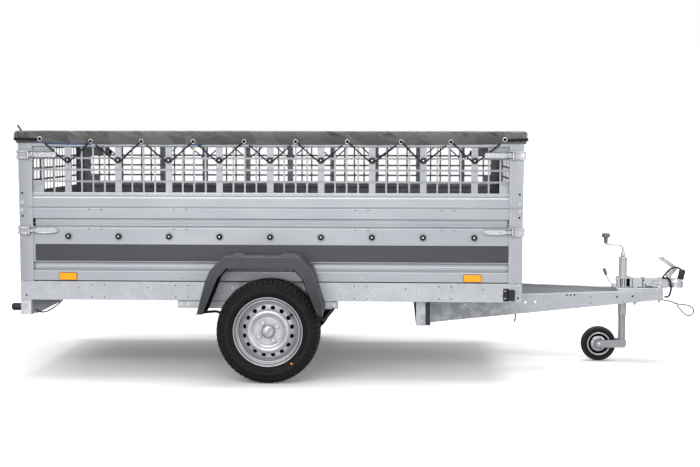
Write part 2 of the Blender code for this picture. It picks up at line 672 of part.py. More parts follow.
def cables():
    loop = [(2.2030, 0, 0.3570), (2.2651, 0, 0.3448), (2.2950, 0, 0.3325), (2.3446, 0.001, 0.3278),
            (2.3845, 0.003, 0.3104), (2.3924, 0.004, 0.2904), (2.3860, 0.004, 0.2730),
            (2.3608, 0.005, 0.2650), (2.3256, 0.006, 0.2899), (2.2960, 0.007, 0.3250)]
    rod("safety_cable", loop, 0.0022, "bright_zinc")
    near, far = -0.042, -0.060
    path = [(2.2070, near, 0.3800), (2.2398, near, 0.3698), (2.2614, near, 0.4051),
            (2.2604, near, 0.4502), (2.2424, near, 0.4852), (2.2127, -0.048, 0.4875),
            (2.1990, -0.055, 0.4900), (2.2060, far, 0.5040), (2.2267, far, 0.5252),
            (2.2511, far, 0.5428), (2.2905, far, 0.5455), (2.3180, far, 0.5300)]
    cable = rod("plug_and_cable", path, 0.0045, "black_plastic")
    plug = [(0, 0.536), (0.012, 0.536), (0.0175, 0.528), (0.0175, 0.478), (0, 0.478)]
    combine(cable, turned("plug", plug, (2.318, far, 0), (0, 0, 1), "black_plastic", steps=16))


# ---- jockey wheel ----
def jockey_tubes():
    centre = (JOCKEY_X, 0, 0)
    low, high = TUBE_Z
    tube = [(0.0090, high), (TUBE_R, high), (TUBE_R, low), (0.0212, low), (0.0212, high - 0.008),
            (0.0090, high - 0.008)]
    turned("jockey_outer_tube", tube, centre, (0, 0, 1), "zinc", closed=True, steps=16)
    nut = [(0.0080, 0.500), (0.0175, 0.500), (0.0175, 0.470), (0.0080, 0.470)]
    turned("jockey_spindle_nut", nut, centre, (0, 0, 1), "bright_zinc", closed=True, steps=16)


def jockey_fork():
    """An inner tube with two arms behind it that carry the wheel on a pin."""
    wheel_z = JOCKEY_R
    inner_tube = [(0, 0.160), (0.0182, 0.160), (0.0182, 0.510), (0.0205, 0.510), (0.0205, 0.080),
                  (0, 0.080)]
    fork = turned("jockey_fork", inner_tube, (JOCKEY_X, 0, 0), (0, 0, 1), "zinc", steps=16)
    crown = block("crown", (1.9600, -0.0350, 0.0790), (2.0020, 0.0350, 0.1250), "zinc")
    combine(fork, crown)
    for side in (-1, 1):
        eye = arc((JOCKEY_AXLE_X, wheel_z), 0.020, 90, 270, 8)
        outline = eye + [(1.9640, 0.0795), (1.9640, 0.1245)]
        arm = prism("arm", [outline], "Y", *across(side, 0.0310, 0.0348), "zinc")
        combine(fork, arm)
    pin = [(0, 0.037), (0.005, 0.037), (0.005, -0.037), (0, -0.037)]
    combine(fork, turned("pin", pin, (JOCKEY_AXLE_X, 0, wheel_z), (0, -1, 0), "zinc", steps=12))


def jockey_wheel():
    centre = (JOCKEY_AXLE_X, 0, JOCKEY_R)
    rim = [(0.0056, 0.026), (0.020, 0.026), (0.024, 0.012), (0.046, 0.012), (0.052, 0.022),
           (0.058, 0.022), (0.058, -0.022), (0.052, -0.022), (0.046, -0.012), (0.024, -0.012),
           (0.020, -0.026), (0.0056, -0.026)]
    turned("jockey_rim", rim, centre, (0, -1, 0), "rim_silver", closed=True, steps=16)
    tyre = [(0.0600, 0.020), (0.068, 0.025), (0.088, 0.025), (JOCKEY_R, 0.012), (JOCKEY_R, -0.012),
            (0.088, -0.025), (0.068, -0.025), (0.0600, -0.020)]
    turned("jockey_tyre", tyre, centre, (0, -1, 0), "tyre_rubber", closed=True, steps=20)


def crank():
    """A screwed spindle down the tubes, bent over at the top into the crank arm."""
    x = JOCKEY_X
    path = [(x, 0, 0.300), (x, 0, 0.655), (x - 0.006, 0, 0.667), (x - 0.018, 0, 0.672),
            (JOCKEY_KNOB_X + 0.012, 0, 0.676), (JOCKEY_KNOB_X + 0.003, 0, 0.679),
            (JOCKEY_KNOB_X, 0, 0.686), (JOCKEY_KNOB_X, 0, 0.720)]
    handle = rod("crank", path, 0.0055, "bright_zinc", (x, 0, 0.6056), resolution=2)
    collar = [(0, 0.632), (0.010, 0.632), (0.012, 0.626), (0.012, 0.6056), (0, 0.6056)]
    combine(handle, turned("collar", collar, (x, 0, 0), (0, 0, 1), "bright_zinc", steps=16))
    knob = [(0, 0.7415), (0.018, 0.7415), (0.024, 0.736), (0.024, 0.720), (0.019, 0.716),
            (0.012, 0.714), (0.0105, 0.6845), (0.0065, 0.6845), (0.0065, 0.7240), (0, 0.7240)]
    turned("crank_knob", knob, (JOCKEY_KNOB_X, 0, 0), (0, 0, 1), "grey_plastic", steps=12)


def clamp_handle():
    """A bent rod on the clamp's screw, with a grip at its end."""
    axis_z = CLAMP_AXIS_Z
    path = [(1.9475, 0, axis_z), (1.9200, 0, axis_z), (1.9100, 0, 0.453), (1.8960, 0, 0.492),
            (1.8810, 0, 0.526)]
    handle = rod("clamp_handle", path, 0.0045, "black_plastic", (1.9475, 0, axis_z), resolution=2)
    low, high = Vector((1.8960, 0, 0.490)), Vector((1.8780, 0, 0.536))
    length = (high - low).length
    grip = [(0, length), (0.005, length), (0.0085, length * 0.7), (0.0085, length * 0.3),
            (0.0055, 0), (0, 0)]
    combine(handle, turned("grip", grip, tuple(low), tuple(high - low), "black_plastic", steps=12))


def jockey():
    jockey_tubes()
    jockey_fork()
    jockey_wheel()
    crank()
    clamp_handle()


clear_scene()
TRAILER = new_collection("box_trailer")
CUTTERS = new_collection("cutters")
FRAME = bpy.data.objects.new("trailer_frame", None)
TRAILER.objects.link(FRAME)
chassis()
bed()
tarpaulin()
running_gear()
rear_lamps()
drawbar()
coupling()
coupling_handle()
cables()
jockey()
FRAME.location.x = FRAME_SHIFT
for part in TRAILER.objects:
    if part.type == "MESH":
        part.data.shade_smooth()
        part.data.set_sharp_from_angle(angle=math.radians(35))
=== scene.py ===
"""Looks of the box trailer: fine shapes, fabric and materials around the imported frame."""

import json
import math

import bmesh
import bpy
from mathutils import Matrix, Vector, noise


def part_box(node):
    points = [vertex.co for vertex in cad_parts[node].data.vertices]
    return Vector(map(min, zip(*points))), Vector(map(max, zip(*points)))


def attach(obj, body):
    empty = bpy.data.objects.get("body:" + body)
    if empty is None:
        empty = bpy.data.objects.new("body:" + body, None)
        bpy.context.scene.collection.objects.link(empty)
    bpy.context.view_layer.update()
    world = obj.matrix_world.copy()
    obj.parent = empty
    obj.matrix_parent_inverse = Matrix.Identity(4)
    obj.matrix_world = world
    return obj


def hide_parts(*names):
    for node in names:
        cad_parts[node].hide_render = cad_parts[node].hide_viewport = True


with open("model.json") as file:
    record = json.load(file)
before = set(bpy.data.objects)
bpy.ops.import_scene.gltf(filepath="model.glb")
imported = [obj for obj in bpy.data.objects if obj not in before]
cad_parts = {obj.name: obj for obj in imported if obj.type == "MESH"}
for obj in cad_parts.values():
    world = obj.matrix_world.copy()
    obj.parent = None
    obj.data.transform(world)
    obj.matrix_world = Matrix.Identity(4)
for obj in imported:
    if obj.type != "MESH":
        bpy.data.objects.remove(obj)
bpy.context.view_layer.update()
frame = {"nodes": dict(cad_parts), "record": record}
BODY_OF = {node: body for body, nodes in frame["record"]["behaviour"]["bodies"].items() for node in nodes}


# ---- places taken from the frame, with X measured forward of the wheel axle ----
AXLE_X = sum(corner[0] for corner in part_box("tyre_right")) / 2


def box(node):
    return [Vector(corner) - Vector((AXLE_X, 0, 0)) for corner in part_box(node)]


def middle(node, axis):
    low, high = box(node)
    return (low[axis] + high[axis]) / 2


X, Y, Z = 0, 1, 2
WHEEL_Y = abs(middle("tyre_right", Y))
WHEEL_Z = middle("tyre_right", Z)
BOARD_LOW, BOARD_HIGH = box("side_board_right")
SIDE_Y = -BOARD_LOW.y
REAR_X = box("tailgate")[0].x
FRONT_X = box("front_board")[1].x
MESH_LOW, MESH_HIGH = box("mesh_side_right")
TARP_LOW, TARP_HIGH = box("tarpaulin")
JOCKEY_X = middle("jockey_outer_tube", X)
SMALL_X, SMALL_Z = middle("jockey_tyre", X), middle("jockey_tyre", Z)
BEAM_LOW, BEAM_HIGH = box("drawbar_beam_right")
PANEL_Y = box("mesh_gate_rear")[1].y
BAY = 0.27                 # pitch of the wide mesh bars and of the hooks
WIDE_BAR = 0.035
POST_WIDTH = 0.074
WALL = 0.024
BEAM_SLOPE = 0.277
PATCHY = (AXLE_X + 0.8, AXLE_X + 1.24)    # where the galvanising of the beams is dull in patches
SIDES = (-1, 1)
ENDS = {"rear": (REAR_X, 1), "front": (FRONT_X, -1)}
UP = (0, 0, 1)


def srgb(r, g, b):
    """A colour given as it looks on screen, 0 to 255, in linear light."""
    def linear(v):
        v /= 255
        return v / 12.92 if v <= 0.04045 else ((v + 0.055) / 1.055) ** 2.4
    return linear(r), linear(g), linear(b)


class Look:
    """A node material under construction. Its colours are given as they look, 0 to 255."""

    def __init__(self, name, slot, colour, roughness=0.5, metallic=0.0):
        self.material = bpy.data.materials.new("look_" + name)
        self.material.use_nodes = True
        self.nodes = self.material.node_tree.nodes
        self.links = self.material.node_tree.links
        self.shader = self.nodes["Principled BSDF"]
        self.place = self.node("TexCoord").outputs["Object"]
        self.colour = self.node("RGB").outputs[0]
        self.colour.default_value = (*srgb(*colour), 1)
        self.height = None
        self.set(Roughness=roughness, Metallic=metallic)

    def node(self, kind, inputs=None, **settings):
        """A new node with its settings made and its inputs set or linked."""
        node = self.nodes.new("ShaderNode" + kind)
        for name, value in settings.items():
            setattr(node, name, value)
        for key, value in (inputs or {}).items():
            self.feed(node.inputs[key], value)
        return node

    def feed(self, socket, value):
        if isinstance(value, bpy.types.NodeSocket):
            self.links.new(value, socket)
        else:
            socket.default_value = value

    def set(self, **values):
        """Sets or links inputs of the shader, with _ for each space in a name."""
        for name, value in values.items():
            self.feed(self.shader.inputs[name.replace("_", " ")], value)

    def scaled(self, scale, turn=None):
        place = self.place
        if turn:
            spin = [math.radians(v) for v in turn]
            place = self.node("Mapping", {"Vector": place, "Rotation": spin}).outputs[0]
        return self.node("Mapping", {"Vector": place, "Scale": scale}).outputs[0]

    def noise(self, scale, detail=4.0, stretch=(1, 1, 1), rough=0.55, turn=None):
        inputs = {"Vector": self.scaled(stretch, turn), "Scale": scale, "Detail": detail, "Roughness": rough}
        return self.node("TexNoise", inputs).outputs["Fac"]

    def cells(self, scale, stretch=(1, 1, 1), turn=None):
        """A random grey for each cell of a scattered pattern."""
        cell = self.node("TexVoronoi", {"Vector": self.scaled(stretch, turn), "Scale": scale})
        return self.node("SeparateColor", {0: cell.outputs["Color"]}).outputs[0]

    def wave(self, scale, axis, profile="SIN"):
        return self.node("TexWave", {"Vector": self.place, "Scale": scale}, bands_direction=axis,
                         wave_profile=profile).outputs["Fac"]

    def math(self, operation, a, b=0.5):
        return self.node("Math", {0: a, 1: b}, operation=operation).outputs[0]

    def times(self, a, b):
        return self.math("MULTIPLY", a, b)

    def grid(self, scale, first, second, profile="SIN"):
        return self.times(self.wave(scale, first, profile), self.wave(scale, second, profile))

    def spread(self, value, low, high, out_low=0.0, out_high=1.0):
        return self.node("MapRange", {"Value": value, "From Min": low, "From Max": high, "To Min": out_low,
                                      "To Max": out_high}).outputs[0]

    def part(self, vector, axis):
        return self.node("SeparateXYZ", {0: vector}).outputs[axis]

    def upward(self, low, high):
        """0 at the lower height and 1 at the upper one."""
        return self.spread(self.part(self.place, "Z"), low, high)

    def ahead(self, rear, front):
        """1 from the rear place to the front one, and fading to 0 beyond them."""
        x = self.part(self.place, "X")
        return self.times(self.spread(x, rear - 0.004, rear), self.spread(x, front + 0.12, front))

    def sideways(self):
        """1 on upright faces and 0 on level ones."""
        normal = self.node("NewGeometry").outputs["True Normal"]
        return self.spread(self.math("ABSOLUTE", self.part(normal, "Z")), 0.9, 0.6)

    def mix(self, factor, a, b):
        return self.node("Mix", {0: factor, 6: a, 7: b}, data_type="RGBA").outputs[2]

    def tint(self, factor, colour):
        self.colour = self.mix(factor, self.colour, (*srgb(*colour), 1))

    def fleck(self, value, low, high, strength, colour):
        """Tints where a value rises from low to high."""
        self.tint(self.spread(value, low, high, 0.0, strength), colour)

    # Lighter convex edges: edge wear, and on the tyre's tread a painted sheen as well.
    def edge_wear_and_sheen(self, colour, low, high):
        self.fleck(self.node("NewGeometry").outputs["Pointiness"], low, high, 1.0, colour)

    def painted_crevice_shade(self, distance, colour, low, high):
        """Painted shade: darkens where the surface faces itself, in folds, grooves and inner corners."""
        shade = self.node("AmbientOcclusion", {"Distance": distance}, samples=6)
        self.tint(self.spread(shade.outputs["AO"], low, high, 1.0, 0.0), colour)

    def vary_roughness(self, value, low, high):
        self.set(Roughness=self.spread(value, 0.3, 0.7, low, high))

    def bump(self, value, depth, strength=0.5):
        inputs = {"Height": value, "Distance": depth, "Strength": strength}
        if self.height:
            inputs["Normal"] = self.height
        self.height = self.node("Bump", inputs).outputs[0]

    def done(self):
        self.set(Base_Color=self.colour)
        if self.height:
            self.set(Normal=self.height)
        return self.material


def make_sheet_zinc(name="sheet_zinc", slot="zinc_board", base=(184, 186, 191)):
    """Smooth zinc-coated sheet: a soft grey with faint cloudy bands and fine grain, and painted shade in its
    grooves and inner corners.
    """
    look = Look(name, slot, base, 0.42, 0.35)
    cloud = look.noise(2.2, 5, (1, 1, 3))
    look.fleck(cloud, 0.35, 0.7, 0.35, (base[0] - 26, base[1] - 24, base[2] - 20))
    look.vary_roughness(cloud, 0.36, 0.5)
    look.edge_wear_and_sheen((226, 229, 233), 0.56, 0.75)
    # painted shade in the grooves and inner corners
    look.painted_crevice_shade(0.018, (124, 127, 133), 0.3, 0.92)
    look.bump(look.noise(420, 3, (0.25, 1, 1)), 0.00004)
    return look.done()


def make_dipped_zinc():
    """Hot-dip galvanising: overlapping spangles, and dull patches at the beams' rear ends."""
    look = Look("dipped_zinc", "zinc_chassis", (202, 205, 209), 0.45, 0.3)
    spangle = look.cells(130)
    look.fleck(spangle, 0.1, 0.9, 0.3, (158, 162, 168))
    look.fleck(look.cells(330), 0.2, 0.9, 0.22, (214, 217, 220))
    look.fleck(look.noise(9, 6), 0.4, 0.75, 0.4, (165, 168, 173))
    patches = look.spread(look.noise(17, 2, (1, 1, 1.3)), 0.53, 0.48, 0.0, 0.42)
    beams_only = look.times(look.upward(0.412, 0.398), look.ahead(*PATCHY))
    look.tint(look.times(patches, beams_only), (132, 134, 138))
    look.vary_roughness(spangle, 0.36, 0.56)
    look.bump(look.noise(160, 4), 0.00025)
    look.edge_wear_and_sheen((224, 226, 229), 0.56, 0.75)
    return look.done()


def make_bright_zinc():
    """Bright zinc plate on pressed steel, with brushed grain, faint dull marks and painted shade in its
    crevices.
    """
    look = Look("bright_zinc", "zinc_bright", (214, 216, 219), 0.3, 0.6)
    cloud = look.noise(24, 4)
    look.fleck(cloud, 0.46, 0.75, 0.3, (178, 181, 185))
    look.vary_roughness(cloud, 0.22, 0.38)
    look.bump(look.noise(260, 4, (1, 1, 0.2)), 0.00004)
    look.edge_wear_and_sheen((244, 245, 246), 0.55, 0.7)
    # painted shade in the crevices
    look.painted_crevice_shade(0.012, (62, 64, 68), 0.3, 0.8)
    return look.done()


def make_tube_zinc(name="tube_zinc", base=(200, 202, 205)):
    look = Look(name, "zinc_tube", base, 0.4, 0.35)
    streak = look.noise(60, 5, (1, 1, 0.08))
    look.fleck(streak, 0.4, 0.7, 0.4, [v - 28 for v in base])
    look.vary_roughness(streak, 0.3, 0.46)
    look.bump(streak, 0.00006)
    look.edge_wear_and_sheen((220, 222, 224), 0.56, 0.7)
    return look.done()


def make_rim_paint():
    """Silver wheel paint with a fine metallic flake and orange-peel, and painted shade in the rim's
    recesses.
    """
    look = Look("rim_paint", "rim_silver", (206, 207, 210), 0.3, 0.65)
    flake = look.cells(1400)
    look.fleck(flake, 0.0, 1.0, 0.25, (222, 224, 227))
    look.fleck(look.noise(22, 5), 0.5, 0.8, 0.3, (150, 152, 155))
    look.vary_roughness(flake, 0.28, 0.42)
    look.bump(look.noise(380, 3), 0.00004, 0.6)
    look.edge_wear_and_sheen((240, 242, 244), 0.56, 0.7)
    # painted shade in the rim's recesses
    look.painted_crevice_shade(0.03, (46, 47, 50), 0.25, 0.95)
    look.set(Coat_Weight=0.25)
    return look.done()


def make_tyre_rubber():
    look = Look("tyre_rubber", "tyre", (13, 13, 15), 0.62)
    look.set(Specular_IOR_Level=0.3)
    dust = look.noise(28, 6)
    look.fleck(dust, 0.45, 0.8, 0.45, (22, 22, 25))
    look.vary_roughness(dust, 0.6, 0.85)
    look.bump(look.noise(900, 3), 0.00008, 0.6)
    # lighter tread block edges: painted sheen, and dust
    look.edge_wear_and_sheen((86, 86, 90), 0.52, 0.6)
    return look.done()


def make_fender_plastic():
    """Dark injection-moulded plastic with a fine leather-like grain."""
    look = Look("fender_plastic", "fender_plastic", (66, 67, 71), 0.52)
    grain = look.node("TexVoronoi", {"Vector": look.scaled((1, 1, 1)), "Scale": 520}, feature="SMOOTH_F1")
    cloud = look.noise(14, 4)
    look.fleck(cloud, 0.4, 0.75, 0.4, (82, 84, 88))
    look.vary_roughness(cloud, 0.44, 0.6)
    look.bump(grain.outputs["Distance"], 0.0002, 0.35)
    look.tint(look.upward(0.62, 0.45), (46, 47, 50))
    look.edge_wear_and_sheen((112, 113, 117), 0.54, 0.66)
    return look.done()


def make_black_plastic(name="black_plastic", slot="black_plastic", shade=(26, 26, 28)):
    look = Look(name, slot, shade)
    cloud = look.noise(60, 4)
    look.fleck(cloud, 0.45, 0.8, 0.5, [v + 16 for v in shade])
    look.vary_roughness(cloud, 0.4, 0.62)
    look.bump(look.noise(700, 3), 0.0001)
    look.edge_wear_and_sheen([v + 40 for v in shade], 0.55, 0.68)
    return look.done()


def make_painted_shade():
    """Painted shade for the inside of holes and gaps: black, with next to no shine."""
    look = Look("painted_shade_black", "black_plastic", (7, 7, 8), 0.9)
    dust = look.noise(90, 4)
    look.fleck(dust, 0.5, 0.8, 0.4, (16, 16, 17))
    look.vary_roughness(dust, 0.85, 0.98)
    look.bump(dust, 0.0001)
    look.set(Specular_IOR_Level=0.08)
    return look.done()


def make_stripe():
    """Dark grey foil on the board's middle flat."""
    look = Look("stripe_foil", "fender_plastic", (65, 66, 70), 0.38)
    cloud = look.noise(3.0, 4)
    look.fleck(cloud, 0.35, 0.7, 0.5, (74, 75, 79))
    look.bump(look.noise(240, 3), 0.00003)
    look.vary_roughness(cloud, 0.32, 0.46)
    return look.done()


def make_amber():
    """Prismatic reflector: a square grid of small prisms behind amber plastic."""
    look = Look("amber_reflector", "lamp_lens", (255, 168, 2), 0.16)
    prisms = look.grid(62, "X", "Z", "TRI")
    look.tint(look.spread(prisms, 0.0, 0.6, 0.45, 0.0), (235, 140, 0))
    look.bump(prisms, 0.0006)
    look.vary_roughness(prisms, 0.1, 0.25)
    # painted glow: the reflector gives off a little light of its own, though it is no lamp
    look.set(Emission_Color=look.colour, Emission_Strength=0.25)
    return look.done()


def make_tarp():
    """Coated tarpaulin: a fine plain weave under a dull coating, creased and a little dusty, with painted
    shade in the creases and towards the hem, and painted light and shade on the skirt's facets.
    """
    look = Look("tarpaulin_fabric", "tarpaulin", (88, 88, 88), 0.66)
    weave = look.math("ADD", look.grid(190, "X", "Y"), look.grid(190, "X", "Z"))
    cloud = look.noise(5, 6)
    facets = look.cells(11, (1, 1, 0.3), (38, 52, 0))
    creases = look.noise(20, 3, (1, 1, 0.13), 0.5, (40, 48, 0))
    skirt = look.sideways()
    look.tint(look.spread(weave, 0.0, 1.2, 0.22, 0.0), (70, 70, 70))
    look.fleck(cloud, 0.4, 0.72, 0.35, (102, 102, 102))
    # painted shade: the skirt darker towards its hem
    look.tint(look.times(look.upward(1.305, 1.262), skirt), (78, 78, 78))
    # painted light and shade: lighter and darker facets scattered over the skirt
    look.tint(look.times(look.spread(facets, 0.55, 0.95, 0.0, 0.5), skirt), (118, 118, 118))
    look.tint(look.times(look.spread(facets, 0.45, 0.05, 0.0, 0.5), skirt), (70, 70, 70))
    # painted shade: dark strokes in the creases near the skirt's top edge, also used as a bump
    dark = look.times(look.spread(creases, 0.53, 0.6, 0.0, 0.9), look.upward(1.284, 1.308))
    patchy = look.spread(look.noise(3.2, 1), 0.42, 0.54, 0.2, 1.0)
    strokes = look.times(look.times(dark, patchy), skirt)
    look.tint(strokes, (46, 46, 47))
    look.vary_roughness(cloud, 0.52, 0.7)
    look.bump(weave, 0.0002)
    look.bump(strokes, 0.006)
    look.bump(look.noise(5, 3, (1, 1, 1), 0.5, (0, 0, 40)), 0.02, 0.4)
    look.bump(look.noise(46, 4), 0.0008, 0.35)
    look.set(Sheen_Weight=0.25, Sheen_Roughness=0.5)
    return look.done()


def make_hem():
    look = Look("blue_hem", "tarpaulin", (40, 84, 158), 0.7)
    stitches = look.wave(260, "X")
    look.fleck(stitches, 0.2, 0.9, 0.4, (30, 56, 98))
    look.bump(stitches, 0.0002, 0.6)
    look.vary_roughness(look.noise(40), 0.6, 0.8)
    return look.done()


def make_cord():
    """Braided elastic cord: black with a fine crossing braid."""
    look = Look("elastic_cord", "black_plastic", (9, 9, 10), 0.8)
    braid = look.grid(300, "DIAGONAL", "X")
    look.fleck(braid, 0.1, 0.8, 0.5, (30, 30, 32))
    look.bump(braid, 0.0004, 0.7)
    look.vary_roughness(look.noise(80), 0.65, 0.85)
    return look.done()


def make_plywood():
    """Brown film-faced plywood with a pressed anti-slip mesh."""
    look = Look("film_plywood", "plywood", (92, 66, 48), 0.55)
    grain = look.noise(14, 8, (1, 12, 12))
    look.fleck(grain, 0.35, 0.7, 0.6, (66, 46, 34))
    look.bump(look.grid(42, "X", "Y"), 0.0006, 0.6)
    look.vary_roughness(grain, 0.45, 0.65)
    return look.done()


def make_lens(name, colour):
    look = Look(name, "lamp_lens", colour, 0.12)
    ribs = look.grid(48, "Y", "Z")
    look.tint(look.spread(ribs, 0.0, 0.9, 0.35, 0.0), [v * 0.6 for v in colour])
    look.bump(ribs, 0.0008, 0.6)
    look.vary_roughness(look.noise(50), 0.08, 0.2)
    look.set(Coat_Weight=0.5)
    return look.done()


def make_steel_cable():
    look = Look("steel_cable", "steel_cable", (104, 106, 108), 0.45, 0.4)
    strands = look.wave(420, "DIAGONAL")
    look.tint(look.spread(strands, 0.2, 0.9, 0.6, 0.0), (70, 72, 74))
    look.bump(strands, 0.0005, 0.8)
    look.vary_roughness(look.noise(60), 0.3, 0.5)
    return look.done()


SHEET = make_sheet_zinc()
PANEL = make_sheet_zinc("mesh_zinc", "zinc_mesh", (163, 165, 169))
# painted highlight: a near-white zinc for thin bright lines on the boards and for the board hooks' screws
PAINTED_HIGHLIGHT = make_sheet_zinc("painted_highlight_zinc", base=(252, 252, 253))
BUTTON = make_black_plastic("button_rubber", shade=(14, 14, 15))
DIPPED = make_dipped_zinc()
BRIGHT = make_bright_zinc()
TUBE = make_tube_zinc()
SHADE = make_painted_shade()
DULL = make_tube_zinc("dull_zinc", (172, 174, 177))
RIM = make_rim_paint()
RUBBER = make_tyre_rubber()
FENDER = make_fender_plastic()
BLACK = make_black_plastic()
GREY = make_black_plastic("grey_plastic", "grey_plastic", (112, 113, 116))
STRIPE = make_stripe()
AMBER = make_amber()
TARP = make_tarp()
HEM = make_hem()
CORD = make_cord()
PLYWOOD = make_plywood()
LENS_RED = make_lens("lens_red", (178, 20, 22))
LENS_AMBER = make_lens("lens_amber", (240, 130, 10))
LENS_CLEAR = make_lens("lens_clear", (225, 225, 228))
CABLE = make_steel_cable()


# ---- shape tools ----
WELD = 1e-6


def new_object(name, data):
    obj = bpy.data.objects.new(name, data)
    bpy.context.scene.collection.objects.link(obj)
    return obj


def mesh_object(name, shape):
    """Turns a bmesh into an object, with doubles welded and its faces turned outwards."""
    bmesh.ops.remove_doubles(shape, verts=shape.verts, dist=WELD)
    bmesh.ops.recalc_face_normals(shape, faces=shape.faces)
    mesh = bpy.data.meshes.new(name)
    shape.to_mesh(mesh)
    shape.free()
    return new_object(name, mesh)


def piece(name, shape, look, body="root", stands_for=(), bevel=0.0, segments=2, angle=30, smooth=35):
    """Makes a visible piece from a bmesh drawn with X measured from the axle."""
    obj = mesh_object(name, moved(shape, shift(AXLE_X)))
    obj.data.materials.append(look)
    obj.data.shade_smooth()
    obj.data.set_sharp_from_angle(angle=math.radians(smooth))
    if bevel:
        round_edges = obj.modifiers.new("round_edges", "BEVEL")
        round_edges.width = bevel
        round_edges.segments = segments
        round_edges.limit_method = "ANGLE"
        round_edges.angle_limit = math.radians(angle)
        round_edges.harden_normals = True
    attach(obj, body)
    if stands_for:
        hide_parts(*stands_for)
    return obj


def merge(target, *others):
    """Adds other shapes to a bmesh, as separate islands."""
    for other in others:
        mesh = bpy.data.meshes.new("part")
        other.to_mesh(mesh)
        other.free()
        target.from_mesh(mesh)
        bpy.data.meshes.remove(mesh)
    return target


def gather(shapes):
    return merge(bmesh.new(), *shapes)


def moved(shape, matrix):
    bmesh.ops.transform(shape, verts=shape.verts, matrix=matrix)
    return shape


def shift(x=0.0, y=0.0, z=0.0):
    return Matrix.Translation((x, y, z))


def aimed(place, direction):
    """Turns a shape drawn along Z to a direction and sets it at a place."""
    aim = Vector(UP).rotation_difference(Vector(direction).normalized()).to_matrix().to_4x4()
    return Matrix.Translation(place) @ aim


def cuboid(corner, opposite):
    corner, opposite = Vector(corner), Vector(opposite)
    size = [abs(v) for v in opposite - corner]
    shape = bmesh.new()
    place = Matrix.Translation((corner + opposite) / 2) @ Matrix.Diagonal((*size, 1))
    bmesh.ops.create_cube(shape, size=1, matrix=place)
    return shape


def strip(x0, x1, side, near, far, z0, z1):
    """A cuboid on one side, between two distances from the middle."""
    return cuboid((x0, side * near, z0), (x1, side * far, z1))


def shape_of(obj):
    """An object's evaluated shape as a bmesh; the object itself is removed."""
    bpy.context.view_layer.update()
    graph = bpy.context.evaluated_depsgraph_get()
    mesh = bpy.data.meshes.new_from_object(obj.evaluated_get(graph), depsgraph=graph)
    shape = bmesh.new()
    shape.from_mesh(mesh)
    moved(shape, obj.matrix_world)
    bpy.data.meshes.remove(mesh)
    bpy.data.objects.remove(obj, do_unlink=True)
    return shape


def shape_of_curve(curve):
    shape = shape_of(new_object(curve.name, curve))
    bpy.data.curves.remove(curve)
    return shape


PLANES = {"X": Matrix(((0, 0, 1, 0), (1, 0, 0, 0), (0, 1, 0, 0), (0, 0, 0, 1))),
          "Y": Matrix(((1, 0, 0, 0), (0, 0, -1, 0), (0, 1, 0, 0), (0, 0, 0, 1))), "Z": Matrix.Identity(4),}


def prism(outline, axis, start, end, holes=()):
    """A flat outline, less any holes, drawn out along an axis."""
    curve = bpy.data.curves.new("outline", "CURVE")
    curve.dimensions = "2D"
    curve.fill_mode = "BOTH"
    curve.extrude = abs(end - start) / 2
    for line in (outline, *holes):
        spline = curve.splines.new("POLY")
        spline.points.add(len(line) - 1)
        for point, (u, v) in zip(spline.points, line):
            point.co = (u, v, 0, 1)
        spline.use_cyclic_u = True
    place = [(start + end) / 2 if name == axis else 0 for name in "XYZ"]
    shape = moved(shape_of_curve(curve), Matrix.Translation(place) @ PLANES[axis])
    bmesh.ops.remove_doubles(shape, verts=shape.verts, dist=WELD)
    return shape


def slab(outline, side, near, far, holes=()):
    """An outline in X and Z drawn out on one side, between two distances from the middle."""
    return prism(outline, "Y", side * near, side * far, holes)


def lathe(profile, place=(0, 0, 0), direction=UP, steps=48, closed=False):
    """A profile of (radius, height) turned about an axis through a place."""
    shape = bmesh.new()
    rings = []
    for i in range(steps):
        turn = 2 * math.pi * i / steps
        c, s = math.cos(turn), math.sin(turn)
        rings.append([shape.verts.new((r * c, r * s, h)) for r, h in profile])
    count = len(profile)
    for i in range(steps):
        here, there = rings[i], rings[(i + 1) % steps]
        for j in range(count if closed else count - 1):
            k = (j + 1) % count
            shape.faces.new((here[j], there[j], there[k], here[k]))
    bmesh.ops.remove_doubles(shape, verts=shape.verts, dist=WELD)
    bmesh.ops.dissolve_degenerate(shape, edges=shape.edges, dist=1e-7)
    return moved(shape, aimed(place, direction))


def disc(radius, top, bottom, place, direction, steps):
    """A plain round plug between two heights over a place."""
    return lathe([(0, top), (radius, top), (radius, bottom), (0, bottom)], place, direction, steps)


def wire(points, radius, smooth=True, resolution=3, closed=False):
    """A round wire or hose through points."""
    curve = bpy.data.curves.new("wire", "CURVE")
    curve.dimensions = "3D"
    curve.bevel_depth = radius
    curve.bevel_resolution = resolution
    curve.use_fill_caps = True
    curve.resolution_u = 6
    spline = curve.splines.new("BEZIER" if smooth else "POLY")
    knots = spline.bezier_points if smooth else spline.points
    knots.add(len(points) - 1)
    for knot, place in zip(knots, points):
        knot.co = place if smooth else (*place, 1)
        if smooth:
            knot.handle_left_type = knot.handle_right_type = "AUTO"
    spline.use_cyclic_u = closed
    return shape_of_curve(curve)


def cut(shape, cutters):
    """Cuts a closed shape with others by an exact Boolean."""
    body, tool = mesh_object("body", shape), mesh_object("tool", cutters)
    boolean = body.modifiers.new("cut", "BOOLEAN")
    boolean.operation = "DIFFERENCE"
    boolean.solver = "EXACT"
    boolean.use_self = True
    boolean.object = tool
    result = shape_of(body)
    bpy.data.objects.remove(tool, do_unlink=True)
    return result


def flattened(shape):
    """Welds doubles and merges flat regions."""
    bmesh.ops.remove_doubles(shape, verts=shape.verts, dist=WELD)
    bmesh.ops.dissolve_limit(shape, angle_limit=math.radians(0.5), verts=shape.verts, edges=shape.edges)
    return shape


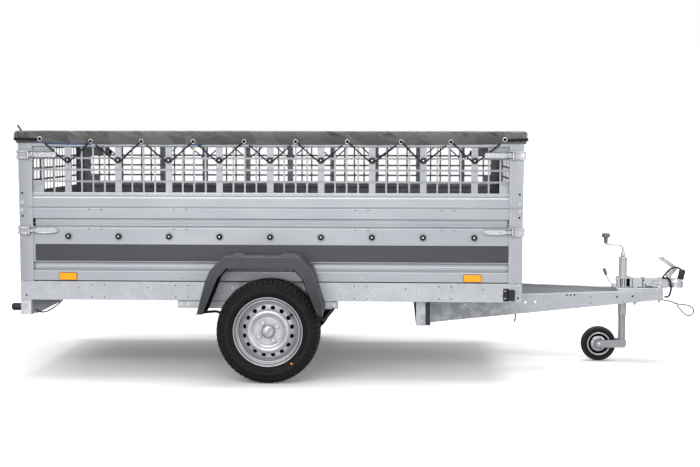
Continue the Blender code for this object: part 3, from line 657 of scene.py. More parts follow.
def frame_shape(node):
    """A copy of a CAD node's shape, closed and with flat regions merged."""
    shape = bmesh.new()
    shape.from_mesh(frame["nodes"][node].data)
    return flattened(moved(shape, shift(-AXLE_X) @ frame["nodes"][node].matrix_world))


def refined(node, look, bevel, segments=3, cutters=None):
    """The CAD node's own shape with rounded edges, standing for it."""
    shape = frame_shape(node)
    if cutters:
        shape = flattened(cut(shape, cutters))
    return piece(f"{node}_look", shape, look, BODY_OF[node], (node,), bevel, segments)


def mm(*places):
    """Places or sizes written in millimetres."""
    return [tuple(v / 1000 for v in place) for place in places]


def rectangle(u0, u1, v0, v1):
    return [(u0, v0), (u1, v0), (u1, v1), (u0, v1)]


def arc(centre, radius, start, end, steps):
    turns = [math.radians(start + (end - start) * i / steps) for i in range(steps + 1)]
    return [(centre[0] + radius * math.cos(t), centre[1] + radius * math.sin(t)) for t in turns]


def mirrored(half):
    """A half outline, followed back by its mirror image."""
    return half + [(u, -v) for u, v in reversed(half)]


def circle(centre, radius):
    return arc(centre, radius, 0, 345, 23)


def rounded(u0, u1, v0, v1, r, steps=3):
    """A rectangle with rounded corners."""
    u0, u1 = sorted((u0, u1))
    corners = ((u1 - r, v1 - r, 0), (u0 + r, v1 - r, 90), (u0 + r, v0 + r, 180), (u1 - r, v0 + r, 270))
    return [point for u, v, a in corners for point in arc((u, v), r, a, a + 90, steps)]


def word(side):
    return "left" if side > 0 else "right"


# ---- fasteners ----
def rivet(place, out, radius=0.0045, height=0.0022):
    dome = [(0, height), (radius * 0.55, height * 0.85), (radius, 0.0002), (radius, -0.001), (0, -0.001)]
    return lathe(dome, place, out, 14)


def bolt(place, out, across_flats=0.013, head=0.006, washer=0.0105, turn=0.0):
    """A hexagon head on a washer, with the head's rim chamfered."""
    r = across_flats / 2 / math.cos(math.pi / 6)
    profile = [(0, head), (r * 0.86, head), (r, head * 0.82), (r, 0.0016), (0, 0.0016)]
    body = merge(lathe(profile, steps=6), disc(washer, 0.0018, -0.0005, (0, 0, 0), UP, 20))
    return moved(body, aimed(place, out) @ Matrix.Rotation(turn, 4, "Z"))


def square_hole(place, side, size):
    """A square punched hole, drawn as a slab of painted shade with a thin rim."""
    x, y, z = place
    half = size / 2
    outline = rounded(x - half, x + half, z - half, z + half, 0.0012)
    return slab(outline, side, abs(y) - 0.0012, abs(y) + 0.0003)


def dark_holes(name, places, side, radius):
    """Small round holes in a side face, drawn as flat discs of painted shade."""
    piece(name, gather([disc(radius, 0.0003, -0.001, place, (0, side, 0), 16) for place in places]), SHADE)


def fasteners(name, shapes, look=BRIGHT, body="root"):
    return piece(name, gather(shapes), look, body)


# ---- chassis ----
RIVET_ROWS = (-0.925, -0.475, 0.48, 0.93)


def side_members():
    for side in SIDES:
        out = (0, side, 0)
        holes = [slab(circle((x, z), r), side, SIDE_Y - 0.006, SIDE_Y + 0.01) for x, z,
                 r in ((REAR_X + 0.032, 0.441, 0.005), (FRONT_X - 0.022, 0.441, 0.005),
                       (FRONT_X - 0.095, 0.452, 0.009))]
        refined(f"side_member_{word(side)}", DIPPED, 0.0022, cutters=gather(holes))
        rivets = [rivet((-1.13, side * SIDE_Y, 0.463), out, 0.005)]
        rivets += [bolt((x, side * SIDE_Y, 0.488), out, 0.01, 0.004, 0.008) for x in (-0.2, 0.18)]
        spots = [(x + dx, side * SIDE_Y, z) for x in RIVET_ROWS for z in (0.434, 0.499) for dx
                 in (-0.033, 0.033)]
        spots += [(x, side * SIDE_Y, 0.485) for x in (-1.03, -0.66, 0.72, 1.13)]
        dark_holes(f"member_punchings_{word(side)}", spots, side, 0.0034)
        fasteners(f"member_rivets_{word(side)}", rivets)
        reflectors(side)
        marker_block(side)


def reflectors(side):
    """Amber side reflectors near both ends, each in a thin black tray."""
    for name, x0, x1, z0, z1 in (("rear", -1.13, -1.04, 0.527, 0.564),
                                 ("front", 1.028, 1.118, 0.527, 0.563)):
        tray = slab(rounded(x0 - 0.0015, x1 + 0.0015, z0 - 0.0015, z1 + 0.0015, 0.004), side,
                    SIDE_Y + 0.0001, SIDE_Y + 0.004)
        piece(f"reflector_tray_{name}_{word(side)}", tray, BLACK, bevel=0.0008)
        lens = slab(rounded(x0, x1, z0, z1, 0.003), side, SIDE_Y + 0.002, SIDE_Y + 0.0062)
        piece(f"reflector_{name}_{word(side)}", lens, AMBER, bevel=0.0012, segments=3)


def marker_block(side):
    """A small black angled block held by two screws near the front of a side member."""
    x0, x1 = FRONT_X - 0.1, FRONT_X - 0.04
    wall = SIDE_Y + 0.0002
    flange = slab(rounded(x0, x0 + 0.03, 0.424, 0.492, 0.003), side, wall, wall + 0.003)
    plan = [(x0 + 0.022, 0.002), (x0 + 0.03, 0.02), (x1 - 0.006, 0.026), (x1, 0.02), (x1, 0.002)]
    plan = [(x, side * (wall + d)) for x, d in plan]
    merge(flange, prism(plan, "Z", 0.43, 0.486))
    for z in (0.43, 0.456, 0.482):
        rib = [(x, side * (wall + d)) for x, d in ((x0 + 0.024, 0), (x0 + 0.03, 0.023), (x1 - 0.004, 0.029),
                                                   (x1, 0))]
        merge(flange, prism(rib, "Z", z, z + 0.003))
    piece(f"marker_block_{word(side)}", flange, BLACK, bevel=0.0008)
    y = side * (wall + 0.003)
    screws = [rivet((x0 + 0.011, y, z), (0, side, 0), 0.0042, 0.002) for z in (0.439, 0.478)]
    fasteners(f"marker_screws_{word(side)}", screws)


def floor():
    refined("floor_panel", PLYWOOD, 0.001, 2)
    for name in ("cross_member_rear", "cross_member_middle", "cross_member_front"):
        refined(name, DIPPED, 0.0018, 2)


# ---- bed ----
def board_section(outer, inward, thick):
    """A board's section as (depth, z), with two pressed grooves and a bead in the upper one."""
    low, high = BOARD_LOW.z, BOARD_HIGH.z
    steps = [(0, low), (0, 0.573), (0.012, 0.581), (0.012, 0.6155), (0, 0.623), (0, 0.806), (0.012, 0.8135),
             (0.012, 0.8285), (0.0105, 0.83), (0.0105, 0.832), (0.012, 0.8335), (0.012, 0.8525), (0, 0.857),
             (0, high), (thick, high), (thick, 0.866), (thick - 0.005, 0.858), (thick - 0.005, 0.814),
             (thick, 0.806), (thick, 0.623), (thick - 0.005, 0.616), (thick - 0.005, 0.582), (thick, 0.574),
             (thick, low)]
    return [(outer + inward * d, z) for d, z in steps]


def board_lines(side):
    """The seam between the profiles, painted shade lines in the folds and painted highlight lines on the
    edges along a side.
    """
    x0, x1 = REAR_X + POST_WIDTH, FRONT_X - POST_WIDTH
    name = word(side)
    lines = {"seam": [], "shine": []}
    # seam: the real seam between the profiles at 0.913 and painted shade lines in the folds and grooves;
    # shine: painted highlight lines
    for kind, z, height, depth in (("seam", 0.913, 0.0018, 0), ("seam", 0.9742, 0.0018, 0.0045),
                                   ("seam", 0.8142, 0.0012, 0.012), ("seam", 0.6222, 0.0016, 0),
                                   ("seam", 0.5838, 0.0016, 0.012), ("shine", 0.5712, 0.0024, 0),
                                   ("shine", 0.601, 0.0026, 0.012), ("shine", 0.9228, 0.0012, 0),
                                   ("shine", 0.9072, 0.0012, 0), ("shine", 0.803, 0.0024, 0)):
        wall = SIDE_Y - depth
        lines[kind].append(strip(x0, x1, side, wall - 0.001, wall + 0.0003, z, z + height))
    # painted highlight along the ledge under the lower rail
    ledge = mm((0.4, 964), (0.4, 968.2), (-4, 972.8), (-4.4, 972.2), (-0.6, 968), (-0.6, 964))
    lines["shine"].append(prism([(side * (SIDE_Y + d), z) for d, z in ledge], "X", x0, x1))
    piece(f"board_seam_and_shade_{name}", gather(lines["seam"]), BLACK)
    piece(f"board_painted_highlight_{name}", gather(lines["shine"]), PAINTED_HIGHLIGHT)
    face = strip(x0, x1, side, 0.6422, 0.6439, 0.9775, 0.9948)
    piece(f"rail_face_{name}", face, PANEL)
    # painted shade: black strips in the gap under the rail and at the groove ends beside the posts
    gaps = [strip(x0, x1, side, SIDE_Y - WALL - 0.0003, SIDE_Y - WALL + 0.001, 0.9752, 0.979)]
    for near, far in ((x0 + 0.0002, x0 + 0.01), (x1 - 0.005, x1 - 0.0002)):
        gaps.append(strip(near, far, side, SIDE_Y - 0.013, SIDE_Y - 0.011, 0.815, 0.852))
    piece(f"board_gap_shade_{name}", gather(gaps), SHADE)


def side_boards():
    for side in SIDES:
        name = word(side)
        outline = board_section(side * SIDE_Y, -side, WALL)
        board = prism(outline, "X", BOARD_LOW.x, BOARD_HIGH.x)
        piece(f"board_{name}", board, SHEET, "root", (f"side_board_{name}",), 0.0026, 4, 20)
        board_lines(side)
        foil = slab(rounded(-1.26, 1.262, 0.628, 0.718, 0.002), side, SIDE_Y + 0.0001, SIDE_Y + 0.0006)
        piece(f"stripe_{name}", foil, STRIPE)
        out = (0, side, 0)
        marks = [((x + dx) * 1.013, side * SIDE_Y, z) for x in RIVET_ROWS for z in (0.9035, 0.7985) for dx
                 in (-0.033, 0.033)]
        dark_holes(f"board_punchings_{name}", marks, side, 0.0034)
        rivets = [rivet((x, side * SIDE_Y, 0.54), out, 0.0042, 0.002) for x in RIVET_ROWS]
        fasteners(f"board_rivets_{name}", rivets)


def end_boards():
    for node, face, inward in (("tailgate", REAR_X, 1), ("front_board", FRONT_X, -1)):
        outline = board_section(face, inward, WALL - 0.0003)
        low, high = box(node)
        board = prism(outline, "Y", low.y, high.y)
        piece(f"{node}_look", board, SHEET, BODY_OF[node], (node,), 0.0026, 4, 20)
        foil = prism(rounded(-0.56, 0.56, 0.628, 0.718, 0.002), "X", face - inward * 0.0006,
                     face - inward * 0.0001)
        piece(f"{node}_stripe", foil, STRIPE, BODY_OF[node])
        hinge_leaves(node, face, inward)


def hinge_leaves(node, face, inward):
    """Two strap hinges at the foot of an end board: knuckles on its axis, leaves above."""
    leaves, knuckles = [], []
    for y in (-0.42, 0.42):
        plan = rounded(y - 0.022, y + 0.022, 0.527, 0.572, 0.006)
        leaves.append(prism(plan, "X", face - inward * 0.0022, face - inward * 0.0002))
        for z in (0.541, 0.56):
            leaves.append(rivet((face - inward * 0.0022, y, z), (-inward, 0, 0), 0.0045))
        axis = (face - inward * 0.004, y, 0.5205)
        knuckles.append(disc(0.0036, 0.012, -0.012, axis, (0, 1, 0), 16))
    fasteners(f"{node}_hinge_leaves", leaves, body=BODY_OF[node])
    fasteners(f"{node}_hinge_pins", knuckles)


def post_plan(side, face, inward, skin_inner):
    """Plan of a corner post with a rolled outer corner."""
    leg = face + inward * (WALL + 0.00015)
    plate = face + inward * POST_WIDTH
    outer = SIDE_Y + 0.0028
    r = 0.005
    points = [(face, PANEL_Y + 0.0008), (face, outer - r), (face + inward * r * 0.3, outer - r * 0.3),
              (face + inward * r, outer), (plate, outer), (plate, skin_inner), (leg, skin_inner),
              (leg, PANEL_Y + 0.0008)]
    return [(x, side * y) for x, y in points]


def posts():
    for side in SIDES:
        out = (0, side, 0)
        y = side * (SIDE_Y + 0.0028)
        for end, (face, inward) in ENDS.items():
            which = f"{end}_{word(side)}"
            low, high = box(f"corner_post_{which}")
            plan = post_plan(side, face, inward, SIDE_Y + 0.0003)
            lower = prism(plan, "Z", low.z, high.z)
            piece(f"post_lower_{which}", lower, SHEET, "root", (f"corner_post_{which}",), 0.0008, 2)
            plan = post_plan(side, face, inward, SIDE_Y - 0.001)
            upper = prism(plan, "Z", MESH_LOW.z, MESH_HIGH.z - 0.0006)
            piece(f"post_upper_{which}", upper, SHEET, bevel=0.0008)
            x = face + inward * 0.019
            lap = strip(face + inward * 0.046, face + inward * POST_WIDTH, side, SIDE_Y + 0.0029,
                        SIDE_Y + 0.0032, 0.9122, 0.9152)
            piece(f"post_lap_{which}", lap, GREY)
            inner_x = face + inward * (POST_WIDTH - 0.01)
            shapes = [bolt((x, y, 0.94), out, turn=0.3), bolt((x, y, 0.899), out, turn=0.1)]
            shapes += [rivet((inner_x, y, z), out, 0.0036, 0.0016) for z
                       in (0.552, 0.655, 0.76, 0.885, 0.955, 1.09)]
            fasteners(f"post_fasteners_{which}", shapes)
            # painted shade: the post's square holes
            holes = [square_hole((x, y, z), side, 0.0098) for z in (0.99, 0.868)]
            piece(f"post_holes_{which}", gather(holes), SHADE)


def mesh_windows(edges, rows):
    return [rounded(a, b, z0, z1, min(0.004, (b - a) * 0.4)) for a, b, kinds in edges for i, (z0, z1)
            in enumerate(rows) if i in kinds]


def bar_rows(low, high):
    bars = (1.053, 1.115, 1.1766)
    edges = [low] + [z + s * 0.005 for z in bars for s in (-1, 1)] + [high]
    return list(zip(edges[0::2], edges[1::2]))


def bay_openings(first, last, count):
    """Four openings in each bay between wide bars, and what is left in the two end bays."""
    opening, bar = 0.0523, 0.0087
    every = (0, 1, 2, 3)
    found = []
    for k in range(-count, count):
        start = BAY * k + WIDE_BAR / 2
        found += [(start + i * (opening + bar), start + i * (opening + bar) + opening, every) for i
                  in range(4)]
    edge = BAY * count + WIDE_BAR / 2
    for sign, limit in ((-1, first), (1, last)):
        for i in range(4):
            near = edge + i * (opening + bar)
            far = min(near + opening, abs(limit))
            if far - near > 0.012:
                kinds = every[:3] if i else every
                kinds = kinds if far - near > opening - 0.001 else (1, 2)
                found.append((*sorted((sign * near, sign * far)), kinds))
    return found


def mesh_sides():
    """Side extensions: a punched sheet with folded rails above and below."""
    rows = bar_rows(0.995, 1.235)
    first, last = REAR_X + POST_WIDTH + 0.002, FRONT_X - POST_WIDTH - 0.002
    for side in SIDES:
        name = word(side)
        edges = bay_openings(first, last, 4)
        plate = rectangle(MESH_LOW.x + WALL, MESH_HIGH.x - WALL, 0.985, 1.245)
        grid = slab(plate, side, 0.6405, 0.643, mesh_windows(edges, rows))
        piece(f"mesh_{name}", grid, PANEL, "root", (f"mesh_side_{name}",), smooth=30)
        span = (REAR_X + WALL + 0.0006, FRONT_X - WALL - 0.0006)
        inner, outer = SIDE_Y - WALL, SIDE_Y
        lower = [(inner, 0.9195), (outer, 0.9195), (outer, 0.968), (outer - 0.0045, 0.9725),
                 (outer - 0.0045, 0.9885), (0.6436, 0.995), (0.6395, 0.995), (inner, 0.988)]
        upper = [(0.6395, 1.235), (0.6436, 1.235), (outer, 1.2415), (outer, 1.3185), (inner, 1.3185),
                 (inner, 1.242)]
        for label, section in (("lower", lower), ("upper", upper)):
            rail = prism([(side * y, z) for y, z in section], "X", *span)
            piece(f"mesh_rail_{label}_{name}", rail, SHEET, bevel=0.0012, segments=3, angle=20)
    piece("rail_lip_left", strip(*span, 1, 0.6352, 0.6398, 0.987, 1.0035), SHEET)


def gates():
    """End gates: a punched sheet in a folded frame, turning on its lower edge."""
    rows = mm((995, 1048), (1058, 1110), (1120, 1171.6), (1181.6, 1223.5))
    for end, (face, inward) in ENDS.items():
        node = f"mesh_gate_{end}"
        body = BODY_OF[node]
        low, high = box(node)
        limit = PANEL_Y - 0.041
        edges = [(a, b, (0, 1, 2, 3)) for a, b, _ in bay_openings(-limit, limit, 2) if b - a > 0.02]
        plate = rectangle(-PANEL_Y + 0.03, PANEL_Y - 0.03, 0.985, 1.234)
        skin = prism(plate, "X", face + inward * 0.0095, face + inward * 0.012, mesh_windows(edges, rows))
        piece(f"gate_mesh_{end}", skin, PANEL, body, (node,))
        outline = rounded(-PANEL_Y, PANEL_Y, low.z, high.z, 0.004)
        hole = rounded(-PANEL_Y + 0.04, PANEL_Y - 0.04, 0.995, high.z - 0.02, 0.006)
        tube = prism(outline, "X", face, face + inward * (WALL - 0.0003), [hole])
        piece(f"gate_frame_{end}", tube, SHEET, body, bevel=0.003, segments=3)
        knuckles = [disc(0.0032, 0.014, -0.014, (face - inward * 0.004, y, 0.9217), (0, 1, 0), 16) for y
                    in (-0.45, 0, 0.45)]
        fasteners(f"gate_hinge_pins_{end}", knuckles)
        leaves = [prism(rounded(y - 0.018, y + 0.018, 0.9285, 0.968, 0.005), "X", face - inward * 0.002,
                        face - inward * 0.0002) for y in (-0.45, 0, 0.45)]
        fasteners(f"gate_hinge_leaves_{end}", leaves, body=body)
        refined(f"header_rail_{end}", SHEET, 0.0025)


def hooks():
    """Rope hooks: black mushroom buttons, each held by a bright screw."""
    profile = mm((0, 16.5), (4.8, 16.5), (5.3, 17.8), (11.6, 17.2), (15.4, 14.8), (15.9, 12.5), (14, 10.5),
                 (8, 8.5), (6.8, 6), (9, 2.5), (10.5, 0), (0, 0))
    screw = mm((0, 18.2), (3.8, 18.2), (4.7, 17.2), (4.7, 14), (0, 14))
    for side in SIDES:
        out = (0, side, 0)
        for label, y, z in (("board", SIDE_Y, 0.761), ("mesh", 0.643, 1.167)):
            buttons, screws = [], []
            for k in range(-4, 5):
                place = (BAY * k, side * y, z)
                buttons.append(lathe(profile, place, out, 28))
                screws.append(lathe(screw, place, out, 12))
            piece(f"hooks_{label}_{word(side)}", gather(buttons), BUTTON)
            # the board hooks' screws are near-white, a painted highlight
            fasteners(f"hook_screws_{label}_{word(side)}", screws, PAINTED_HIGHLIGHT if label == "board" else BRIGHT)


# ---- latches ----
def corners():
    return [(side, end, *ENDS[end]) for side in SIDES for end in ENDS]


def latch_strap(side, face, inward, pivot_x, z, half):
    """A strap round the corner with rolled edges and two ears for the lever's pin."""
    tip = face - inward * 0.0055
    outer = SIDE_Y + 0.0062
    inner = SIDE_Y + 0.003
    r = 0.004
    plan = [(tip, 0.622), (tip, outer - r), (tip + inward * r * 0.3, outer - r * 0.3),
            (tip + inward * r, outer), (pivot_x + inward * 0.012, outer), (pivot_x + inward * 0.012, inner),
            (face - inward * 0.0006, inner), (face - inward * 0.0006, 0.622)]
    plan = [(x, side * y) for x, y in plan]
    strap = prism(plan, "Z", z - half, z + half)
    for up in (-1, 1):
        ear = [(pivot_x - 0.01, outer - 0.002), (pivot_x + 0.01, outer - 0.002),
               *[(pivot_x + u, v) for u, v in arc((0, 0.6655), 0.01, 0, 180, 8)]]
        ear = [(x, side * y) for x, y in ear]
        merge(strap, prism(ear, "Z", z + up * 0.0175, z + up * 0.0202))
    return strap


def smoothed(points, rounds=2):
    """Cuts the corners of a closed outline, again and again."""
    for _ in range(rounds):
        fresh = []
        for i, (u, v) in enumerate(points):
            p, q = points[(i + 1) % len(points)]
            fresh += [(u * 0.75 + p * 0.25, v * 0.75 + q * 0.25), (u * 0.25 + p * 0.75, v * 0.25 + q * 0.75)]
        points = fresh
    return points


def strap_lever(side, x0, inward, z):
    """Upper lever: a channel-shaped strap with folded edges, a middle rib and two knuckles."""
    plan = mirrored(mm((4, 12), (30, 14.2), (139, 14.2), (148.5, 11), (150, 5)))
    outline = [(x0 + inward * u, z + v) for u, v in plan]
    bars = ((0.032, 0.139, -0.0146, -0.0126, 0.6612, 0.6666), (0.032, 0.139, 0.0126, 0.0146, 0.6612,
                                                               0.6666), (0.05, 0.128, -0.003, 0.003, 0.662,
                                                                         0.665))
    details = [strip(x0 + inward * u0, x0 + inward * u1, side, near, far, z + v0, z + v1) for u0, u1, v0,
               v1, near, far in bars]
    knuckle = mirrored(mm((0, 12.5), (3, 12.5), (4.2, 11)))
    details += [lathe(knuckle, (x0 + inward * u, side * 0.6648, z), UP, 14) for u in (0.02, 0.034)]
    return outline, details


def spoon_lever(side, x0, inward, z):
    """Lower lever: a spoon with a rolled bead round it and a knuckle at its root."""
    plan = mirrored(mm((4, 8.5), (30, 9), (50, 11.2), (75, 12.8), (105, 12.8), (128, 10.8), (145, 7.5),
                       (153, 3)))
    outline = smoothed([(x0 + inward * u, z + v) for u, v in plan])
    bead = [(x, side * 0.664, h) for x, h in outline if abs(x - x0) > 0.04]
    knuckle = mirrored(mm((0, 9.5), (4, 9.5), (5.2, 8)))
    return outline, [wire(bead, 0.0017, False, 2), lathe(knuckle, (x0 + inward * 0.028, side * 0.665, z),
                                                         UP, 14)]


LEVERS = {"lower": spoon_lever, "upper": strap_lever}


def latches():
    for side, end, face, inward in corners():
        pivot_x = face + inward * 0.055
        which = f"{end}_{word(side)}"
        y = side * 0.6655
        for height, z, half in (("lower", 0.791, 0.0225), ("upper", 1.195, 0.0235)):
            strap = latch_strap(side, face, inward, pivot_x, z, half)
            piece(f"latch_strap_{height}_{which}", strap, BRIGHT, bevel=0.0007)
            base = slab(rounded(face + inward * 0.008, face + inward * 0.08, z - 0.0265, z + 0.0265, 0.004),
                        side, SIDE_Y + 0.0029, SIDE_Y + 0.004)
            piece(f"latch_base_{height}_{which}", base, SHEET, bevel=0.0004)
            node = f"latch_lever_{height}_{which}"
            body = BODY_OF[node]
            outline, details = LEVERS[height](side, pivot_x, inward, z)
            blade = slab(outline, side, 0.6612, 0.6634)
            barrel = mirrored(mm((0, 17.2), (4.5, 17.2), (6.2, 15.5), (6.2, 6), (5.2, 4.5)))
            pin = lathe(mm((0, 23.2), (3, 23.2), (3.8, 21.8), (3.8, 20.5), (0, 20.5)), (pivot_x, y, z), UP,
                        16)
            merge(blade, lathe(barrel, (pivot_x, y, z), UP, 20), *details)
            piece(f"{node}_look", blade, BRIGHT, body, (node,), 0.0007, 2)
            # painted shade: a black sheet a little larger than the lever lies behind it and draws a dark
            # outline round it
            mid_x = sum(x for x, _ in outline) / len(outline)
            wider = [(mid_x + (x - mid_x) * 1.016, z + (h - z) * 1.16) for x, h in outline]
            under = slab(wider, side, 0.6596, 0.6611)
            piece(f"{node}_shade_outline", under, SHADE, body)
            fasteners(f"latch_pin_{height}_{which}", [pin])
            bail(height, which, side, face, inward, pivot_x, z)


def bail(height, which, side, face, inward, pivot_x, z):
    """The wire loop from the lever's pin round the corner to the panel's catch."""
    reach = 0.0145 if height == "lower" else 0.0165
    y = side * 0.6672
    tip = face - inward * 0.0078
    points = []
    for up in (1, -1):
        leg = [(pivot_x + inward * 0.004, y, z + up * reach), (pivot_x - inward * 0.02, y, z + up * reach),
               (face + inward * 0.002, side * 0.6652, z + up * reach), (tip, side * 0.659,
                                                                        z + up * reach * 0.95),
               (tip - inward * 0.0004, side * 0.64, z + up * reach * 0.9)]
        points += leg if up > 0 else leg[::-1]
    bpy_wire = wire(points, 0.0021, True, 2)
    piece(f"latch_bail_{height}_{which}", bpy_wire, BRIGHT)


# ---- tarpaulin ----
EYELETS_X = (-1.225, -0.954, -0.683, -0.407, -0.136, 0.136, 0.409, 0.693, 0.954, 1.236)
EYELETS_Y = [s * v for s in (-1, 1) for v in (0.155, 0.465)]
EYELET_Z = 1.266
TARP_TOP = 1.3225
TARP_HALF_Y = 0.6552
TARP_X = (TARP_LOW.x + 0.0008, TARP_HIGH.x - 0.0008)


def loop_points(corner, spacing):
    """Points round the cover's edge: (x, y, outward x, outward y, distance along)."""
    x0, x1 = TARP_X
    y0, y1 = -TARP_HALF_Y, TARP_HALF_Y
    centres = ((x1 - corner, y1 - corner, 0), (x0 + corner, y1 - corner, 90),
               (x0 + corner, y0 + corner, 180), (x1 - corner, y0 + corner, 270))
    found = []
    for i, (cx, cy, start) in enumerate(centres):
        for j in range(9):
            turn = math.radians(start + 90 * j / 8)
            found.append((cx + corner * math.cos(turn), cy + corner * math.sin(turn), math.cos(turn),
                          math.sin(turn)))
        nx, ny, _ = centres[(i + 1) % 4]
        turn = math.radians(start + 90)
        here = Vector((cx + corner * math.cos(turn), cy + corner * math.sin(turn)))
        there = Vector((nx + corner * math.cos(turn), ny + corner * math.sin(turn)))
        steps = max(2, round((there - here).length / spacing))
        for j in range(1, steps):
            p = here.lerp(there, j / steps)
            found.append((p.x, p.y, math.cos(turn), math.sin(turn)))
    return found


def nearest_eyelet(x, y):
    """Distance along the edge to the nearest eyelet, and the same distance with its sign."""
    if abs(abs(y) - TARP_HALF_Y) < 0.03 and TARP_X[0] + 0.03 < x < TARP_X[1] - 0.03:
        return min(((abs(x - e), x - e) for e in EYELETS_X))
    return min(((abs(y - e), y - e) for e in EYELETS_Y))


def corner_distance(x, y):
    return min(math.hypot(x - cx, y - cy) for cx in TARP_X for cy in (-TARP_HALF_Y, TARP_HALF_Y))


def skirt_hem(x, y):
    """Height of the skirt's lower edge: pulled up at the eyelets and at the corners."""
    along = x if abs(y) > TARP_HALF_Y - 0.02 else y * 2
    lift = 0.009 * (min(abs(along) / 1.33, 1)) ** 6
    near, _ = nearest_eyelet(x, y)
    slack = 0.0025 * math.sin(min(near / 0.135, 1) * math.pi / 2)
    return TARP_LOW.z + 0.0022 + lift - slack


def skirt_push(x, y, z):
    """How far the skirt stands out: broad folds, gathers under the top edge, bunched corners."""
    near, signed = nearest_eyelet(x, y)
    along = x if abs(y) > TARP_HALF_Y - 0.02 else y
    down = min(max((TARP_TOP - z) / (TARP_TOP - TARP_LOW.z), 0), 1)
    broad = noise.noise(Vector((along * 5.5 + z * 13, y * 3, 1.7))) * 0.0095 * (0.25 + 0.75 * down)
    lift = z - EYELET_Z
    fan = math.atan2(lift, signed) * 3.2
    reach = math.hypot(signed, lift)
    ridge = 0.5 - abs(noise.noise(Vector((fan, x * 1.3 + y * 2.1, 3.7)))) * 2
    folds = ridge * 0.0065 * min(reach / 0.03, 1) * math.exp(-reach / 0.16)
    patch = noise.noise(Vector((along * 5, y * 4, 9.3)))
    strokes = math.sin(along * 250 + z * 210) * 0.0026 * min(max(patch * 4, 0), 1) * (1 - down) ** 1.3
    taut = 1 - 0.7 * math.exp(-(near / 0.03) ** 2)
    corner = math.exp(-(corner_distance(x, y) / 0.055) ** 2)
    bunch = corner * (0.007 + math.sin((x - y) * 190 + z * 70) * 0.0055)
    lean = 0.006 * math.sin(math.pi * min(down * 1.15, 1))
    return max((broad + folds + strokes) * taut, -0.0026 - lean * 0.4) + lean + bunch


def top_height(x, y):
    """The cover's top: taut at the rails, slack in the middle, with soft diagonal creases."""
    u = min((x - TARP_X[0]) / 0.5, (TARP_X[1] - x) / 0.5, 1.0)
    v = min((TARP_HALF_Y - abs(y)) / 0.4, 1.0)
    slack = max(0.0, u) * max(0.0, v)
    sag = -0.011 * slack * slack
    edge = 1 - min((TARP_HALF_Y - abs(y)) / 0.1, 1.0)
    _, signed = nearest_eyelet(x, math.copysign(TARP_HALF_Y, y))
    gather_lines = noise.noise(Vector((signed * 42 + y * 30, x * 2.2, 1.3))) * 0.0042 * max(0.0, edge)
    looseness = 0.007 * min(1, slack * 3 + 0.15)
    long = noise.noise(Vector((x * 2.2 + y * 3.1, y * 5 - x * 1.2, 0.4))) * looseness
    creases = abs(noise.noise(Vector((x * 5 + y * 8, y * 6 - x * 3, 8.1)))) * looseness
    across_fold = abs((x / 0.42 + 0.5) % 1.0 - 0.5) * 0.42
    along_fold = abs(abs(y) - 0.21)
    folds = math.exp(-(across_fold / 0.01) ** 2) + math.exp(-(along_fold / 0.01) ** 2)
    packed = 0.0018 * folds * min(1, slack * 4)
    return sag + gather_lines + long - creases + packed


def close_middle(shape, ring):
    """Bridges the innermost ring across the sheet's middle line."""
    mirror = [min(ring, key=lambda v: (v.co.x - w.co.x) ** 2 + (v.co.y + w.co.y) ** 2) for w in ring]
    for i in range(len(ring)):
        j = (i + 1) % len(ring)
        corners = list(dict.fromkeys((ring[i], ring[j], mirror[j], mirror[i])))
        if ring[i].co.y + ring[j].co.y > 0 and len(corners) > 2:
            shape.faces.new(corners)


def tarp_sheet():
    """One sheet: up the skirt, over the bend, and in over the top to the middle line."""
    spacing = 0.0075
    edge = loop_points(0.012, spacing)
    bend = 0.008
    rings = []
    for i in range(11):
        rings.append(("skirt", i / 10))
    for i in range(1, 5):
        rings.append(("bend", i / 5))
    inward = [0, 0.006, 0.014, 0.025] + [0.04 + 0.015 * i for i in range(41)]
    rings += [("top", d) for d in inward]
    shape = bmesh.new()
    mid_x = sum(TARP_X) / 2
    half_x = (TARP_X[1] - TARP_X[0]) / 2
    rows = []
    for kind, t in rings:
        row = []
        for x, y, ox, oy in edge:
            if kind == "skirt":
                z = skirt_hem(x, y) + (TARP_TOP - bend - skirt_hem(x, y)) * t
                push = skirt_push(x, y, z)
                place = (x + ox * push, y + oy * push, z)
            elif kind == "bend":
                turn = t * math.pi / 2
                push = skirt_push(x, y, TARP_TOP - bend) * (1 - t)
                out = push - bend * (1 - math.cos(turn))
                place = (x + ox * out, y + oy * out, TARP_TOP - bend + bend * math.sin(turn))
            else:
                inset = bend + t
                px = mid_x + (x - mid_x) * (half_x - inset) / half_x
                py = y * (TARP_HALF_Y - inset) / TARP_HALF_Y
                place = (px, py, TARP_TOP + top_height(px, py) * min(1, t / 0.03))
            row.append(shape.verts.new(place))
        rows.append(row)
    count = len(edge)
    for lower, upper in zip(rows, rows[1:]):
        for i in range(count):
            j = (i + 1) % count
            shape.faces.new((lower[i], lower[j], upper[j], upper[i]))
    close_middle(shape, rows[-1])
    sheet = piece("tarpaulin_sheet", shape, TARP, "root", ("tarpaulin",), smooth=70)
    thick = sheet.modifiers.new("thickness", "SOLIDIFY")
    thick.thickness = 0.0011
    thick.offset = -1
    return edge


def eyelet_places():
    for side in SIDES:
        for x in EYELETS_X:
            lift = 0.012 if abs(x) > 1.2 else 0.0
            yield Vector((x, side * TARP_HALF_Y, EYELET_Z + lift)), Vector((0, side, 0))
    for end_x, out in ((TARP_X[0], -1), (TARP_X[1], 1)):
        for y in EYELETS_Y:
            yield Vector((end_x, y, EYELET_Z)), Vector((out, 0, 0))


